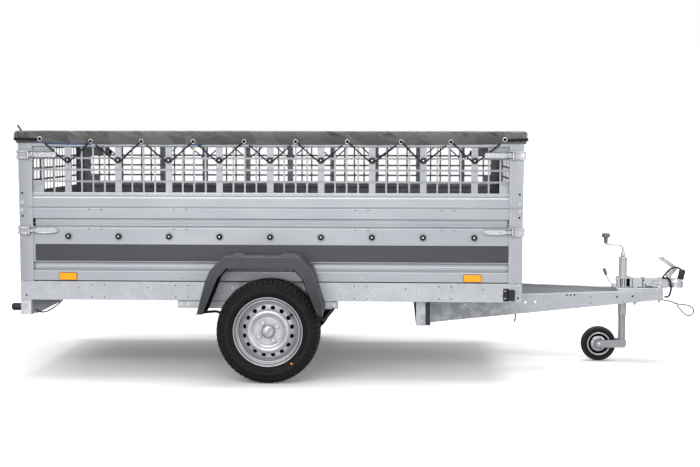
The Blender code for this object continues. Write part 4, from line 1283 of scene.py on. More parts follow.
def eyelets():
    profile = [(0.0105 + 0.0024 * math.cos(t), 0.0022 + 0.0024 * math.sin(t)) for t
               in [2 * math.pi * i / 10 for i in range(10)]]
    rings, holes = [], []
    for place, out in eyelet_places():
        push = skirt_push(place.x, place.y, place.z)
        where = place + out * (push + 0.0002)
        rings.append(lathe(profile, where, out, 28, True))
        # painted shade: a dark disc in each eyelet's hole
        holes.append(disc(0.0085, 0.0009, -0.0005, where, out, 20))
    piece("eyelet_rings", gather(rings), BRIGHT, smooth=60)
    piece("eyelet_holes", gather(holes), SHADE)


def cord_end(x, toward, side):
    """The end of a run of cord at an eyelet: out through it, or hidden behind the skirt."""
    lift = 0.012 if abs(x) > 1.2 else 0.0
    if (x > 0) == (toward > 0):
        return [(x, side * (TARP_HALF_Y + 0.003), EYELET_Z + lift), (x + toward * 0.008,
                                                                     side * (TARP_HALF_Y + 0.005),
                                                                     EYELET_Z + lift - 0.007)]
    return [(x + toward * 0.026, side * (TARP_HALF_Y - 0.0005), 1.2465 + lift * 0.6),
            (x + toward * 0.034, side * (TARP_HALF_Y + 0.0005), 1.2395 + lift * 0.6)]


def lacing():
    """Elastic cord through the eyelets, down round the mesh hooks and round the corners."""
    lines = []
    for side in SIDES:
        near = side * (TARP_HALF_Y + 0.005)
        for left, right in zip(EYELETS_X, EYELETS_X[1:]):
            k = round((left + right) / 2 / BAY) * BAY
            bend = [(k + d, side * 0.6525, z) for d, z in mm((-12, 1160), (-6, 1157), (6, 1157), (12, 1160))]
            points = cord_end(left, 1, side) + bend + cord_end(right, -1, side)[::-1]
            lines.append(wire(points, 0.0037, False, 2))
        for sign in (-1, 1):
            edge_x = TARP_X[0] if sign < 0 else TARP_X[1]
            x = EYELETS_X[0] if sign < 0 else EYELETS_X[-1]
            points = [(x, side * (TARP_HALF_Y + 0.003), 1.278), (x + sign * 0.01, near, 1.2785),
                      (edge_x - sign * 0.012, side * (TARP_HALF_Y + 0.013), 1.2815),
                      (edge_x + sign * 0.012, side * (TARP_HALF_Y + 0.004), 1.282),
                      (edge_x + sign * 0.013, side * (TARP_HALF_Y - 0.03), 1.281),
                      (edge_x + sign * 0.0045, side * 0.55, 1.276), (edge_x + sign * 0.004, side * 0.465,
                                                                     1.268)]
            lines.append(wire(points, 0.0037, True, 2))
            points = [(px, py + side * 0.0006, pz - 0.0078) for px, py, pz in points[1:]]
            lines.append(wire(points, 0.0033, True, 2))
    for edge_x, out in ((TARP_X[0], -1), (TARP_X[1], 1)):
        x = edge_x + out * 0.0042
        drop = [(x, -0.465, 1.268), (x, -0.31, 1.256), (x, -0.155, 1.266), (x, 0, 1.256), (x, 0.155, 1.266),
                (x, 0.31, 1.256), (x, 0.465, 1.268)]
        lines.append(wire(drop, 0.0039, True, 2))
    stub = [(REAR_X + 0.02, -0.644, 1.314), (REAR_X + 0.014, -0.648, 1.329),
            (REAR_X + 0.008, -0.649, 1.338), (REAR_X + 0.0, -0.65, 1.351)]
    lines.append(wire(stub, 0.0042, True, 2))
    piece("elastic_cord_lacing", gather(lines), CORD, smooth=60)


def blue_edge():
    """A thin blue seam showing under the hem at parts of each side."""
    strips = []
    for side in SIDES:
        for x0, x1 in ((-1.205, -0.955), (-0.42, -0.36)):
            count = 16
            points = []
            for i in range(count + 1):
                x = x0 + (x1 - x0) * i / count
                z = skirt_hem(x, side * TARP_HALF_Y)
                push = skirt_push(x, side * TARP_HALF_Y, z)
                points.append((x, side * (TARP_HALF_Y + push - 0.0034), z - 0.0016))
            strips.append(wire(points, 0.0036, False, 2))
    piece("blue_seam", gather(strips), HEM, smooth=60)


# ---- wheels, arms and fenders ----
# Half a tyre's section as (radius, height), from the bead out to the middle of the tread.
TYRE_HALF = mm((167.2, 53), (173.5, 55.5), (183.5, 57.2), (186.2, 62.5), (188.5, 64), (191.5, 65.5),
               (198, 71.2), (206, 75.2), (209.5, 75.2), (210.5, 76.4), (219, 77.6), (228, 77.4),
               (230, 76.2), (238, 75.2), (246, 72.8), (248, 73.6), (250, 72.8), (252.5, 71.8), (256, 70),
               (260, 67.6), (265.5, 63), (269, 57.5), (271.2, 52), (272.4, 42), (272.8, 38), (266, 36.8),
               (266, 31.2), (273.1, 30), (273.5, 16), (273.5, 14), (266.2, 12.8), (266.2, 7.2), (273.5, 6),
               (273.5, 0))


TREAD_BLOCKS = 60
TREAD_STEPS = (0.0, 0.05, 0.25, 0.3, 0.53, 0.77)     # where the points of one block sit along its pitch


def tread_lean(height):
    """How far the cross grooves are shifted at this place across the tread, in pitches."""
    if abs(height) > 0.034:
        return (abs(height) - 0.034) * 5
    return 0.35 + abs(height) * 9 + (0.15 if height > 0 else 0.0)


def tread_radius(radius, height, phase):
    """Lowers the tread where a cross groove runs."""
    shoulder = radius > 0.252 and abs(height) > 0.034
    middle = radius > 0.2695 and 0.006 < abs(height) <= 0.034
    if not 0.04 < phase < 0.26:
        return radius
    if shoulder:
        return radius - 0.0065 * min(1, (radius - 0.25) / 0.01)
    return radius - 0.0045 if middle else radius


def tyre(side):
    whole = TYRE_HALF + [(r, -h) for r, h in reversed(TYRE_HALF[:-1])]
    ring = whole + mirrored(mm((169, -40), (189, -48), (225, -66.5), (254, -56), (260, -30)))
    shape = bmesh.new()
    rows = []
    for block in range(TREAD_BLOCKS):
        for phase in TREAD_STEPS:
            row = []
            for j, (r, h) in enumerate(ring):
                outside = j < len(whole) and r > 0.24
                turn = 2 * math.pi * (block + phase - (tread_lean(h) if outside else 0)) / TREAD_BLOCKS
                reach = tread_radius(r, h, phase) if outside else r
                row.append(shape.verts.new((reach * math.cos(turn), h, reach * math.sin(turn))))
            rows.append(row)
    count = len(ring)
    for i, here in enumerate(rows):
        there = rows[(i + 1) % len(rows)]
        for j in range(count):
            k = (j + 1) % count
            shape.faces.new((here[j], there[j], there[k], here[k]))
    moved(shape, shift(0, side * WHEEL_Y, WHEEL_Z))
    name = word(side)
    piece(f"tyre_tread_{name}", shape, RUBBER, BODY_OF[f"tyre_{name}"], (f"tyre_{name}",), smooth=28)


def paint_dots(side):
    """A dab of yellow with blue beside it on the tyre's wall."""
    name = word(side)
    turn = math.radians(-52.5)
    # the yellow dot uses the reflector's look, with its painted glow
    for label, look, r, reach, lean in (("yellow", AMBER, 0.0052, 0.206, 0.0),
                                        ("blue", HEM, 0.0038, 0.212, 0.045)):
        x = reach * math.cos(turn + lean)
        z = WHEEL_Z + reach * math.sin(turn + lean)
        dot = lathe([(0, 0.0016), (r * 0.8, 0.0014), (r, 0.0004), (r, -0.002), (0, -0.002)],
                    (x, side * (WHEEL_Y + 0.0752), z), (0, side, 0), 18)
        piece(f"paint_dot_{label}_{name}", dot, look, BODY_OF[f"tyre_{name}"])


def rim_section():
    face = mm((182.5, 60), (183.8, 62.5), (182.2, 64.2), (178, 64), (175.2, 62.5), (173.8, 59), (171.2, 58),
              (168.5, 59.2), (166, 58.5), (164.5, 53), (163.6, 42), (161.8, 36), (159.8, 35), (157.8, 33.5),
              (156.6, 24), (155, 18), (151.5, 17.8), (148, 18.2), (145.5, 19.5), (140, 21.5), (131, 26.2),
              (121, 32.5), (115.5, 37.2), (111.5, 43.2), (106.5, 46.8), (100.5, 47.8), (94.5, 46.4),
              (89.5, 42.5), (84, 37.2), (78.5, 34.5), (74.5, 34.2), (72.8, 35.6), (66, 35.8), (64.5, 34.8),
              (35, 34.6))
    back = mm((35, 30.3), (74, 30.3), (80, 31), (96, 37.5), (104.5, 41.2), (113, 37.5), (131, 22.2),
              (140, 15), (143.5, 12), (144, -22), (161, -54), (164, -58), (182.5, -62), (182.5, -57.5),
              (166, -54.5), (148, -20), (148, 15), (150, 16), (160, 23), (165, 54))
    return face + back


def rim(side):
    name = word(side)
    centre = (0, side * WHEEL_Y, WHEEL_Z)
    out = (0, side, 0)
    wheel = lathe(rim_section(), centre, out, 96, True)
    vents = []
    for i in range(16):
        turn = 2 * math.pi * (i + 0.5) / 16
        x, z = 0.127 * math.cos(turn), 0.127 * math.sin(turn)
        oval = [(0.0122 * math.cos(t), 0.01 * math.sin(t)) for t in [2 * math.pi * j / 20 for j
                                                                     in range(20)]]
        lean = turn + math.pi / 2
        oval = [(x + u * math.cos(lean) - v * math.sin(lean),
                 WHEEL_Z + z + u * math.sin(lean) + v * math.cos(lean)) for u, v in oval]
        vents.append(slab(oval, side, WHEEL_Y + 0.005, WHEEL_Y + 0.058))
    # painted shade: a dark plate behind the rim's vents
    shade_plate_profile = mm((50, 13), (138, 13), (141, 8), (139.5, 7), (50, 10))
    piece(f"rim_shade_plate_{name}", lathe(shade_plate_profile, centre, out, 64, True), SHADE, BODY_OF[f"hub_{name}"])
    piece(f"rim_disc_{name}", cut(wheel, gather(vents)), RIM, BODY_OF[f"rim_{name}"], (f"rim_{name}",),
          0.0006, 2, 40, 32)
    # painted shade: dark rings in the grooves of the rim's flange and well
    lines = [[(r0, h), (r1, h + 0.0004), (r1, h - 0.001), (r0, h - 0.001)] for r0, r1, h
             in mm((170, 172.2, 59), (156, 158.5, 30), (176.5, 177.8, 64.6))]
    shade_rings = gather([lathe(line, centre, out, 96, True) for line in lines])
    piece(f"rim_shade_lines_{name}", shade_rings, SHADE, BODY_OF[f"rim_{name}"])
    hub_and_bolts(side, centre, out)


def hub_and_bolts(side, centre, out):
    name = word(side)
    body = BODY_OF[f"hub_{name}"]
    cx, cy, cz = centre
    hub = mm((0, 58.5), (20, 58.5), (26.2, 56), (28.5, 51.5), (29, 40), (31.8, 37.2), (33, 35.2),
             (33, 29.7), (69, 29.7), (70, 28), (70, 20), (50, 14), (50, -20), (93.5, -26.2), (95, -28.5),
             (95, -83.5), (93, -85), (17.5, -85), (17.5, 5), (0, 5))
    shape = lathe(hub, centre, out, 64)
    piece(f"hub_cap_{name}", shape, BRIGHT, body, (f"hub_{name}",), smooth=30)
    lean = math.radians(52 if side < 0 else -52)
    aim = Matrix(((1, 0, 0, 0), (0, 0, side, 0), (0, 1, 0, 0), (0, 0, 0, 1)))
    aim = Matrix.Translation(centre) @ aim @ Matrix.Rotation(lean, 4, "Z")
    bar = cuboid((-0.0245, -0.0035, 0.0575), (0.0245, 0.0035, 0.0625))
    piece(f"cap_bar_{name}", moved(bar, aim), BRIGHT, body, bevel=0.001)
    # painted shade: dark slots along both sides of the cap's bar
    gaps = gather([strip(-0.0245, 0.0245, way, 0.0036, 0.0062, 0.058, 0.059) for way in SIDES])
    piece(f"cap_gaps_{name}", moved(gaps, aim), SHADE, body)
    parts = []
    for i in range(4):
        turn = math.pi / 6 + i * math.pi / 2
        place = (cx + 0.054 * math.cos(turn), cy + side * 0.035, cz + 0.054 * math.sin(turn))
        collar = mm((0, 4), (10.5, 4), (13.5, 0.8), (13.5, -1), (0, -1))
        parts.append(lathe(collar, place, out, 24))
        high = (place[0], place[1] + side * 0.003, place[2])
        parts.append(bolt(high, out, 0.017, 0.0135, 0.0108, i * 0.7))
    fasteners(f"wheel_bolts_{name}", parts, body=body)
    turn = math.radians(35)
    foot = Vector((0.15 * math.cos(turn), side * (WHEEL_Y + 0.02), WHEEL_Z + 0.15 * math.sin(turn)))
    tip = foot + Vector((-0.012 * math.cos(turn), side * 0.026, -0.012 * math.sin(turn)))
    stem = mm((0, 29), (3.2, 29), (3.8, 27), (3.8, 18), (3, 17.5), (3.4, 6), (6.2, 2), (6.2, -4), (0, -4))
    piece(f"tyre_valve_{name}", lathe(stem, foot, tip - foot, 16), BLACK, BODY_OF[f"rim_{name}"])


# The arch's outer line, rear foot to front foot, as (x, z).
ARCH = mm((-367, 370), (-345, 450), (-322, 537), (-298, 595), (-263, 635), (-223, 672), (165, 672),
          (230.5, 609), (262, 520), (290, 420), (291.1, 370))


def fender(side):
    """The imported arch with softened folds, two raised pads and a bead along its outer edge."""
    name = word(side)
    body = frame_shape(f"fender_{name}")
    piece(f"fender_arch_{name}", body, FENDER, "root", (f"fender_{name}",), 0.0045, 4, 18, 40)
    pads = []
    for x0, x1 in ((-0.189, -0.126), (0.0645, 0.154)):
        ends = [(x0 - 0.006, 0.6705), (x0 + 0.006, 0.68), (x1 - 0.006, 0.68), (x1 + 0.006, 0.6705)]
        pads.append(slab(ends, side, SIDE_Y + 0.006, 0.848))
    piece(f"fender_pads_{name}", gather(pads), FENDER, bevel=0.0025, segments=3)
    # painted shade: the inside of the arch's legs drawn as a black wall
    line = mm((-331, 371.5), (-255.5, 555), (-209, 607.5), (136, 608.5), (182.6, 556), (259, 371.5))
    thick = [(x + (-0.0032 if x < 0 else 0.0032), z + (0.003 if z > 0.6 else 0.0012)) for x, z in line]
    wall = slab(line + thick[::-1], side, 0.668, 0.846)
    piece(f"fender_inner_shade_wall_{name}", wall, SHADE, bevel=0.0008)
    bead = [(x, side * 0.8505, z) for x, z in ARCH]
    offset = [(x * 0.994 - 0.0002, y, z - 0.0035) for x, y, z in bead]
    piece(f"fender_bead_{name}", wire(offset, 0.0026, False, 2), FENDER, smooth=60)
    stays(side)


def stays(side):
    """Bent black rods from the chassis plate out to the feet of the arch."""
    rear = [(-0.262, side * 0.6475, 0.35), (-0.281, side * 0.672, 0.362), (-0.303, side * 0.74, 0.3715),
            (-0.33, side * 0.8, 0.3765), (-0.345, side * 0.835, 0.38), (-0.35, side * 0.8445, 0.386)]
    front = [(0.336, side * 0.6475, 0.377), (0.33, side * 0.668, 0.37), (0.305, side * 0.72, 0.345),
             (0.292, side * 0.77, 0.336), (0.284, side * 0.82, 0.345), (0.281, side * 0.843, 0.362),
             (0.281, side * 0.8445, 0.385)]
    rods = gather([wire(points, 0.0072, True, 3) for points in (rear, front)])
    piece(f"fender_stays_{word(side)}", rods, BLACK, smooth=60)


def running_gear():
    plate_bolts = []
    for side in SIDES:
        for x in (-0.478, -0.44, 0.3, 0.338):
            plate_bolts.append(bolt((x, side * 0.647, 0.397), (0, side, 0), 0.013, 0.0065, 0.011, x * 9))
        tyre(side)
        paint_dots(side)
        rim(side)
        fender(side)
        refined(f"swing_arm_{word(side)}", DIPPED, 0.002)
        foot = box("side_member_right")[0].z
        # painted shade: a dark strip where the axle plate meets the side member's lower edge
        gap = strip(-0.494, 0.354, side, 0.646, 0.6474, foot - 0.0034, foot + 0.0002)
        piece(f"axle_plate_gap_{word(side)}", gap, SHADE)
    refined("axle_tube", DIPPED, 0.004)
    fasteners("axle_plate_bolts", plate_bolts)


# ---- rear lamps ----
def rear_lamps():
    x0, x1 = REAR_X, REAR_X + 0.055
    low, high = (corner.z for corner in box("light_carrier"))
    skin = 0.003
    web = [(x0, low), (x1, low), (x1, high), (x0, high), (x0, high - skin), (x1 - skin, high - skin),
           (x1 - skin, low + skin), (x0, low + skin)]
    channel = prism(web, "Y", -0.6455, 0.6455)
    holder = cuboid((x0 - 0.002, -0.27, low + 0.001), (x0 + 0.004, 0.27, high - 0.001))
    cheeks = [strip(x0, x1, side, 0.6425, 0.6455, low, high) for side in SIDES]
    piece("light_carrier_look", merge(channel, holder, *cheeks), DIPPED, "root", ("light_carrier",), 0.0012,
          2)
    for side in SIDES:
        fold = [(x1 - 0.001, low + 0.004), (x1 + 0.025, low + 0.004), (-1.146, 0.4), (-1.146, high),
                (x1 - 0.001, high)]
        piece(f"gusset_{word(side)}", slab(fold, side, 0.6, 0.603), GREY, bevel=0.0008)
    for side in SIDES:
        name = word(side)
        low, high = box(f"rear_lamp_{name}")
        back = cuboid((low.x + 0.006, low.y, low.z), high)
        piece(f"lamp_case_{name}", back, BLACK, "root", (f"rear_lamp_{name}",), 0.003, 3)
        inner, outer = sorted((abs(low.y), abs(high.y)))
        lenses = {"turn": (outer - 0.062, outer - 0.003, LENS_AMBER)}
        lenses["stop"] = (inner + 0.062, outer - 0.064, LENS_RED)
        lenses["plate"] = (inner + 0.003, inner + 0.06, LENS_CLEAR)
        for label, (near, far, look) in lenses.items():
            lens = strip(low.x - 0.003, low.x + 0.012, side, near, far, low.z + 0.004, high.z - 0.004)
            piece(f"lamp_{label}_{name}", lens, look, bevel=0.0045, segments=4)
        buffer = mm((0, 56), (15.5, 56), (19.5, 51.5), (20.3, 43), (20.3, 13), (18, 6), (20.3, 2),
                    (20.3, 0), (0, 0))
        cup = lathe(buffer, (REAR_X + 0.0005, side * 0.617, 0.3755), (-1, 0, 0), 32)
        piece(f"buffer_{name}", cup, BLACK, smooth=40)
        lead = [(REAR_X + 0.06, side * 0.59, 0.372), (REAR_X + 0.078, side * 0.606, 0.352),
                (REAR_X + 0.115, side * 0.612, 0.346), (REAR_X + 0.15, side * 0.61, 0.36),
                (REAR_X + 0.19, side * 0.606, 0.388), (REAR_X + 0.215, side * 0.604, 0.412)]
        piece(f"lamp_lead_{name}", wire(lead, 0.0038), BLACK, smooth=60)
    marks = [bolt((REAR_X + 0.024, side * 0.645, 0.382), (0, side, 0), 0.013, 0.006, 0.011) for side
             in SIDES]
    fasteners("carrier_bolts", marks)


# ---- drawbar ----
def beam_y(x, side, depth=0.0):
    """The outer face of a beam at a given x."""
    return side * (0.07 + BEAM_SLOPE * (BEAM_HIGH.x - x) - depth)


def beams():
    for side in SIDES:
        name = word(side)
        out = Vector((BEAM_SLOPE, side, 0)).normalized()
        through = ((1.392, 0.374, 0.0056), (1.448, 0.3746, 0.0056))
        small = mm((1630, 408, 5.2), (1652, 407.5, 5.2), (1674, 407, 5.2), (1770, 394, 3), (1769, 357, 3),
                   (1923, 389.5, 5.5), (2017, 390.3, 6.2))
        holes = [disc(r, 0.022, 0, Vector((x, beam_y(x, side), z)) - out * 0.012, out, 24) for x, z,
                 r in through]
        # painted shade: flat dark discs for the small punched holes
        marks = [disc(r, 0.0003, -0.0004, (x, beam_y(x, side), z), out, 18) for x, z, r in small]
        piece(f"beam_punchings_{name}", gather(marks), SHADE)
        refined(f"drawbar_beam_{name}", DIPPED, 0.0022, cutters=gather(holes) if side < 0 else None)
        parts = []
        for x in (2.036, 2.182):
            y = beam_y(x, side, 0.022)
            parts.append(bolt((x, y, 0.43), UP, 0.015, 0.008, 0.0125, x * 5))
            foot = BEAM_LOW.z + (x - BEAM_LOW.x) * 0.0639
            stud = lathe(mm((0, 21), (3.6, 21), (4.2, 20), (4.2, 0), (0, 0)), (x, y, foot), (0, 0, -1), 14)
            parts += [bolt((x, y, foot), (0, 0, -1), 0.018, 0.012, 0.014, x * 3), stud]
        parts.append(bolt((1.05, beam_y(1.05, side), 0.376), out, 0.015, 0.007, 0.0125))
        fasteners(f"beam_bolts_{name}", parts)
    refined("drawbar_cross_member", DIPPED, 0.0022)
    low, high = box("drawbar_cross_member")
    for side in SIDES:
        cap = strip(low.x, low.x + 0.05, side, high.y + 0.0002, high.y + 0.0032, low.z, high.z)
        piece(f"cross_member_cap_{word(side)}", cap, DIPPED, bevel=0.0012)
        shade = strip(low.x + 0.05, high.x - 0.001, side, high.y - 0.004, high.y - 0.002, low.z + 0.004,
                      high.z - 0.004)
        piece(f"cross_member_shade_{word(side)}", shade, BLACK, bevel=0.0008)
        marks = [rivet((low.x + 0.03, side * (high.y + 0.0032), low.z + 0.022), (0, side, 0), 0.0062, 0.003)]
        fasteners(f"cross_member_rivet_{word(side)}", marks)
    refined("drawbar_head_plate", DIPPED, 0.0016)
    hanging_bits()


def hanging_bits():
    """A short cut cable end under the near beam and a small spring clip at its rear."""
    x = 1.332
    y = beam_y(x, -1, 0.006)
    stub = [(x + 0.003, y, 0.322), (x + 0.003, y, 0.296), (x + 0.001, y - 0.002, 0.28),
            (x - 0.004, y - 0.003, 0.266)]
    piece("cable_stub", wire(stub, 0.0042), GREY, smooth=60)
    clip = cuboid((FRONT_X - 0.03, -SIDE_Y - 0.0035, 0.5), (FRONT_X - 0.01, -SIDE_Y - 0.0003, 0.5165))
    piece("corner_clip", clip, BRIGHT, bevel=0.0012)


def jockey_clamp():
    low, high = box("jockey_clamp")
    refined("jockey_clamp", BRIGHT, 0.0035, 4)
    wall = high.y
    ribs = [strip(x - 0.0022, x + 0.0022, side, wall - 0.0015, wall + 0.003, low.z + 0.005, high.z - 0.006)
            for side in SIDES for x in (1.958, 1.969, 1.991, 2.018)]
    # painted shade: dark slots between the clamp's ribs
    spans = mm((1960.5, 1966.5), (1971.5, 1975.5), (1985, 1988.5), (1996.5, 2016))
    slots = [strip(*span, side, wall - 0.0005, wall + 0.0006, low.z + 0.006, high.z - 0.008) for side
             in SIDES for span in spans]
    piece("clamp_slots", gather(slots), SHADE)
    piece("clamp_ribs", gather(ribs), BRIGHT, bevel=0.001)
    ear = [bolt((1.9478, y, 0.474), (-1, 0, 0), 0.01, 0.005, 0.008) for y in (-0.022, 0.022)]
    fasteners("clamp_bolts", ear)
    # painted shade: a dark block in the gap between the clamp and the coupling
    wedge = cuboid((2.0292, -0.026, 0.431), (2.0338, 0.026, 0.486))
    piece("clamp_gap_shade", wedge, SHADE, bevel=0.0008)


# ---- coupling ----
def coupling():
    body = frame_shape("coupling_body")
    piece("coupling_shell", body, BRIGHT, "root", ("coupling_body",), 0.0042, 4, 25, 40)
    parts = []
    for x in (2.1, 2.19):
        parts.append(bolt((x, 0, 0.483), UP, 0.013, 0.007, 0.011, x * 4))
        for side in SIDES:
            parts.append(bolt((x, side * 0.03, 0.457), (0, side, 0), 0.013, 0.0065, 0.011, x * 7))
    pin = mm((0, 20.5), (3.2, 20.5), (4.4, 19), (4.4, 16.8), (0, 16.8))
    parts += [lathe(pin, (2.2447, 0, 0.4952), (0, side, 0), 18) for side in SIDES]
    fasteners("coupling_bolts", parts)
    dome = mm((0, 481.5), (14, 480.8), (26, 477.5), (34.5, 472.5), (35, 470), (0, 470))
    piece("coupling_dome", lathe(dome, (2.287, 0, 0), UP, 40), BRIGHT, smooth=60)
    lip = mm((39.5, 434.5), (41.8, 433.5), (42.2, 431.5), (41.8, 429.8), (38.5, 429.8))
    piece("coupling_lip", lathe(lip, (2.287, 0, 0), UP, 40, True), BRIGHT, smooth=60)
    foot = [strip(2.0345, 2.231, side, 0.03, 0.0303, 0.43, 0.4332) for side in SIDES]
    piece("coupling_foot_shadow", gather(foot), SHADE)
    for side in SIDES:
        rim = slab(rounded(2.146, 2.181, 0.448, 0.469, 0.003), side, 0.0296, 0.0306)
        plate = slab(rounded(2.1475, 2.1795, 0.4495, 0.4675, 0.002), side, 0.03, 0.0311)
        piece(f"rating_plate_edge_{word(side)}", rim, BLACK)
        piece(f"rating_plate_{word(side)}", plate, BRIGHT, bevel=0.0004)
    lead = mm((2098.5, -32.5, 478), (2096, -32.5, 464), (2102, -32.5, 448), (2108, -32.5, 440),
              (2130, -32.5, 437), (2145, -32.5, 436.5))
    piece("coupling_lead", wire(lead, 0.0016, True, 2), BLACK, smooth=60)
    tie = [(2.09, y, z) for y, z in rounded(-0.0312, 0.0312, 0.429, 0.4843, 0.004)]
    piece("cable_tie", wire(tie, 0.0014, False, 2, True), BLACK, smooth=60)


def coupling_handle():
    """A pressed lifting handle: side cheeks, a rolled grip and a soft thumb rest."""
    body = BODY_OF["coupling_handle"]
    shape = frame_shape("coupling_handle")
    hollow = prism(mm((2205, 593.5), (2262, 551.5), (2272, 553.5), (2211, 598.5)), "Y", -0.0085, 0.0085)
    shape = cut(shape, hollow)
    piece("coupling_lever", shape, BRIGHT, body, ("coupling_handle",), 0.0028, 4, 25, 40)
    grip = mm((2190.5, 596), (2201, 589.5), (2208.5, 596), (2212.5, 606.5), (2198, 606.5), (2189, 603))
    piece("coupling_grip", prism(grip, "Y", -0.0128, 0.0128), BRIGHT, body, bevel=0.003, segments=3)


# ---- cables ----
def cables():
    path = mm((2203, 0, 357), (2265.1, 0, 344.8), (2295, 0, 332.5), (2344.6, 1, 327.8), (2384.5, 3, 310.4),
              (2392.4, 4, 290.4), (2386, 4, 273), (2360.8, 5, 265), (2325.6, 6, 289.9), (2296, 7, 325))
    loop = wire(path, 0.0035, True, 3)
    piece("breakaway_cable", loop, CABLE, "root", ("safety_cable",), smooth=60)
    ferrule = lathe(mm((0, 20), (4.2, 20), (5, 18), (5, 2), (4.2, 0), (0, 0)), (2.28, 0.003, 0.3385),
                    (0.015, 0.002, -0.006), 16)
    fasteners("cable_ferrule", [ferrule])
    near, far = -0.042, -0.06
    path = [(2.214, near, 0.38), (2.232, near, 0.379), (2.248, near, 0.409), (2.248, near, 0.452),
            (2.235, near, 0.483), (2.2127, -0.048, 0.4875), (2.199, -0.055, 0.49), (2.206, far, 0.504),
            (2.2237, far, 0.5252), (2.246, far, 0.5445), (2.276, far, 0.5505), (2.306, far, 0.535)]
    piece("electric_cable", wire(path, 0.0056, True, 3), BLACK, "root", ("plug_and_cable",), smooth=60)
    plug = mm((0, 537), (10, 537), (14, 533.5), (17.5, 527), (17.8, 505), (16.2, 503.5), (16.2, 499),
              (18.5, 497.5), (18.5, 480), (17.2, 478), (0, 478))
    shape = lathe(plug, (2.318, far, 0), UP, 32)
    for i in range(12):
        turn = math.pi * i / 6
        x, y = 2.318 + 0.0178 * math.cos(turn), far + 0.0178 * math.sin(turn)
        merge(shape, disc(0.0013, 0.024, 0, (x, y, 0.5035), UP, 8))
    lean = Matrix.Rotation(math.radians(12), 4, "Y")
    moved(shape, shift(2.3035, far, 0.509) @ lean @ shift(-2.318, -far, -0.505))
    piece("plug_shell", shape, BLACK, smooth=40)


# ---- jockey wheel ----
def jockey_tubes():
    x = JOCKEY_X
    tube = mm((9.2, 605), (22.5, 605), (25.8, 603.5), (26.4, 600), (26, 593), (22.6, 592), (22.6, 590),
              (24, 589), (24, 270), (23.6, 265), (21.3, 265), (21.3, 596), (9.2, 596))
    shape = lathe(tube, (x, 0, 0), UP, 48, True)
    notch = prism([(x - 0.006, 0.255), (x + 0.006, 0.255), *arc((x, 0.272), 0.006, 0, 180, 8)], "Y", -0.03,
                  0.03)
    shape = cut(shape, notch)
    piece("jockey_tube_shell", shape, TUBE, BODY_OF["jockey_outer_tube"], ("jockey_outer_tube",), 0.0006, 2,
          40)
    refined("jockey_spindle_nut", BRIGHT, 0.0008, 2)


def jockey_fork():
    body = BODY_OF["jockey_fork"]
    x = JOCKEY_X
    tube = mm((0, 88), (19.6, 88), (20.5, 89), (20.5, 509.5), (19.5, 510), (18.2, 510), (18.2, 160),
              (0, 160))
    fork = lathe(tube, (x, 0, 0), UP, 48)
    edge = arc((SMALL_X, SMALL_Z), 0.02, 90, 270, 14)
    edge += [(1.964, 0.0795), *arc((1.983, 0.0985), 0.019, 270, 360, 6), (2.002, 0.118),
             *arc((1.996, 0.119), 0.006, 0, 90, 3), (1.964, 0.125)]
    for side in SIDES:
        merge(fork, slab(edge, side, 0.0308, 0.0346))
    bridge = [cuboid((1.999, -0.031, 0.0985), (2.002, 0.031, 0.118)),
              cuboid((1.962, -0.031, 0.096), (1.965, 0.031, 0.124))]
    merge(fork, *bridge)
    piece("jockey_fork_look", fork, DULL, body, ("jockey_fork",), 0.001, 2, 35)
    nuts = [bolt((SMALL_X, side * 0.035, SMALL_Z), (0, side, 0), 0.014, 0.007, 0.011) for side in SIDES]
    fasteners("jockey_axle_nuts", nuts, body=body)


def jockey_wheel():
    body = BODY_OF["jockey_rim"]
    centre = (SMALL_X, 0, SMALL_Z)
    rim_line = mm((5.6, 20.5), (13, 20.5), (15, 19), (16.5, 16.5), (25, 16), (27, 18.5), (40, 18.5),
                  (44, 16.5), (46.5, 8), (50, 6), (55.5, 7), (58, 15), (59, 24), (61, 26.2), (65.5, 26.6),
                  (67.2, 25), (64, 24), (59.5, 20.5))
    rim = lathe(mirrored(rim_line), centre, (0, -1, 0), 48, True)
    holes = []
    for i in range(5):
        turn = 2 * math.pi * i / 5
        x, z = SMALL_X + 0.0335 * math.cos(turn), SMALL_Z + 0.0335 * math.sin(turn)
        holes.append(prism(circle((x, z), 0.004), "Y", -0.03, 0.03))
    piece("jockey_rim_look", cut(rim, gather(holes)), RIM, body, ("jockey_rim",), 0.0006, 2, 40)
    # painted shade: a dark ring in the rim's well on each face
    gap = mm((48, 8), (57.5, 8), (57.5, 9.8), (48, 9.8))
    gaps = gather([lathe(gap, centre, (0, way, 0), 48, True) for way in SIDES])
    piece("jockey_rim_gap", gaps, SHADE, body)
    half = mm((58.8, 21.5), (64, 23.6), (72, 25.2), (86, 25), (93, 22.5), (97.5, 17.5), (99.4, 11),
              (97.5, 9.8), (97.5, 7), (99.8, 5.8), (100, 0))
    ring = half + [(r, -h) for r, h in reversed(half[:-1])]
    piece("jockey_tyre_look", lathe(ring, centre, (0, -1, 0), 72, True), RUBBER, body, ("jockey_tyre",),
          smooth=28)


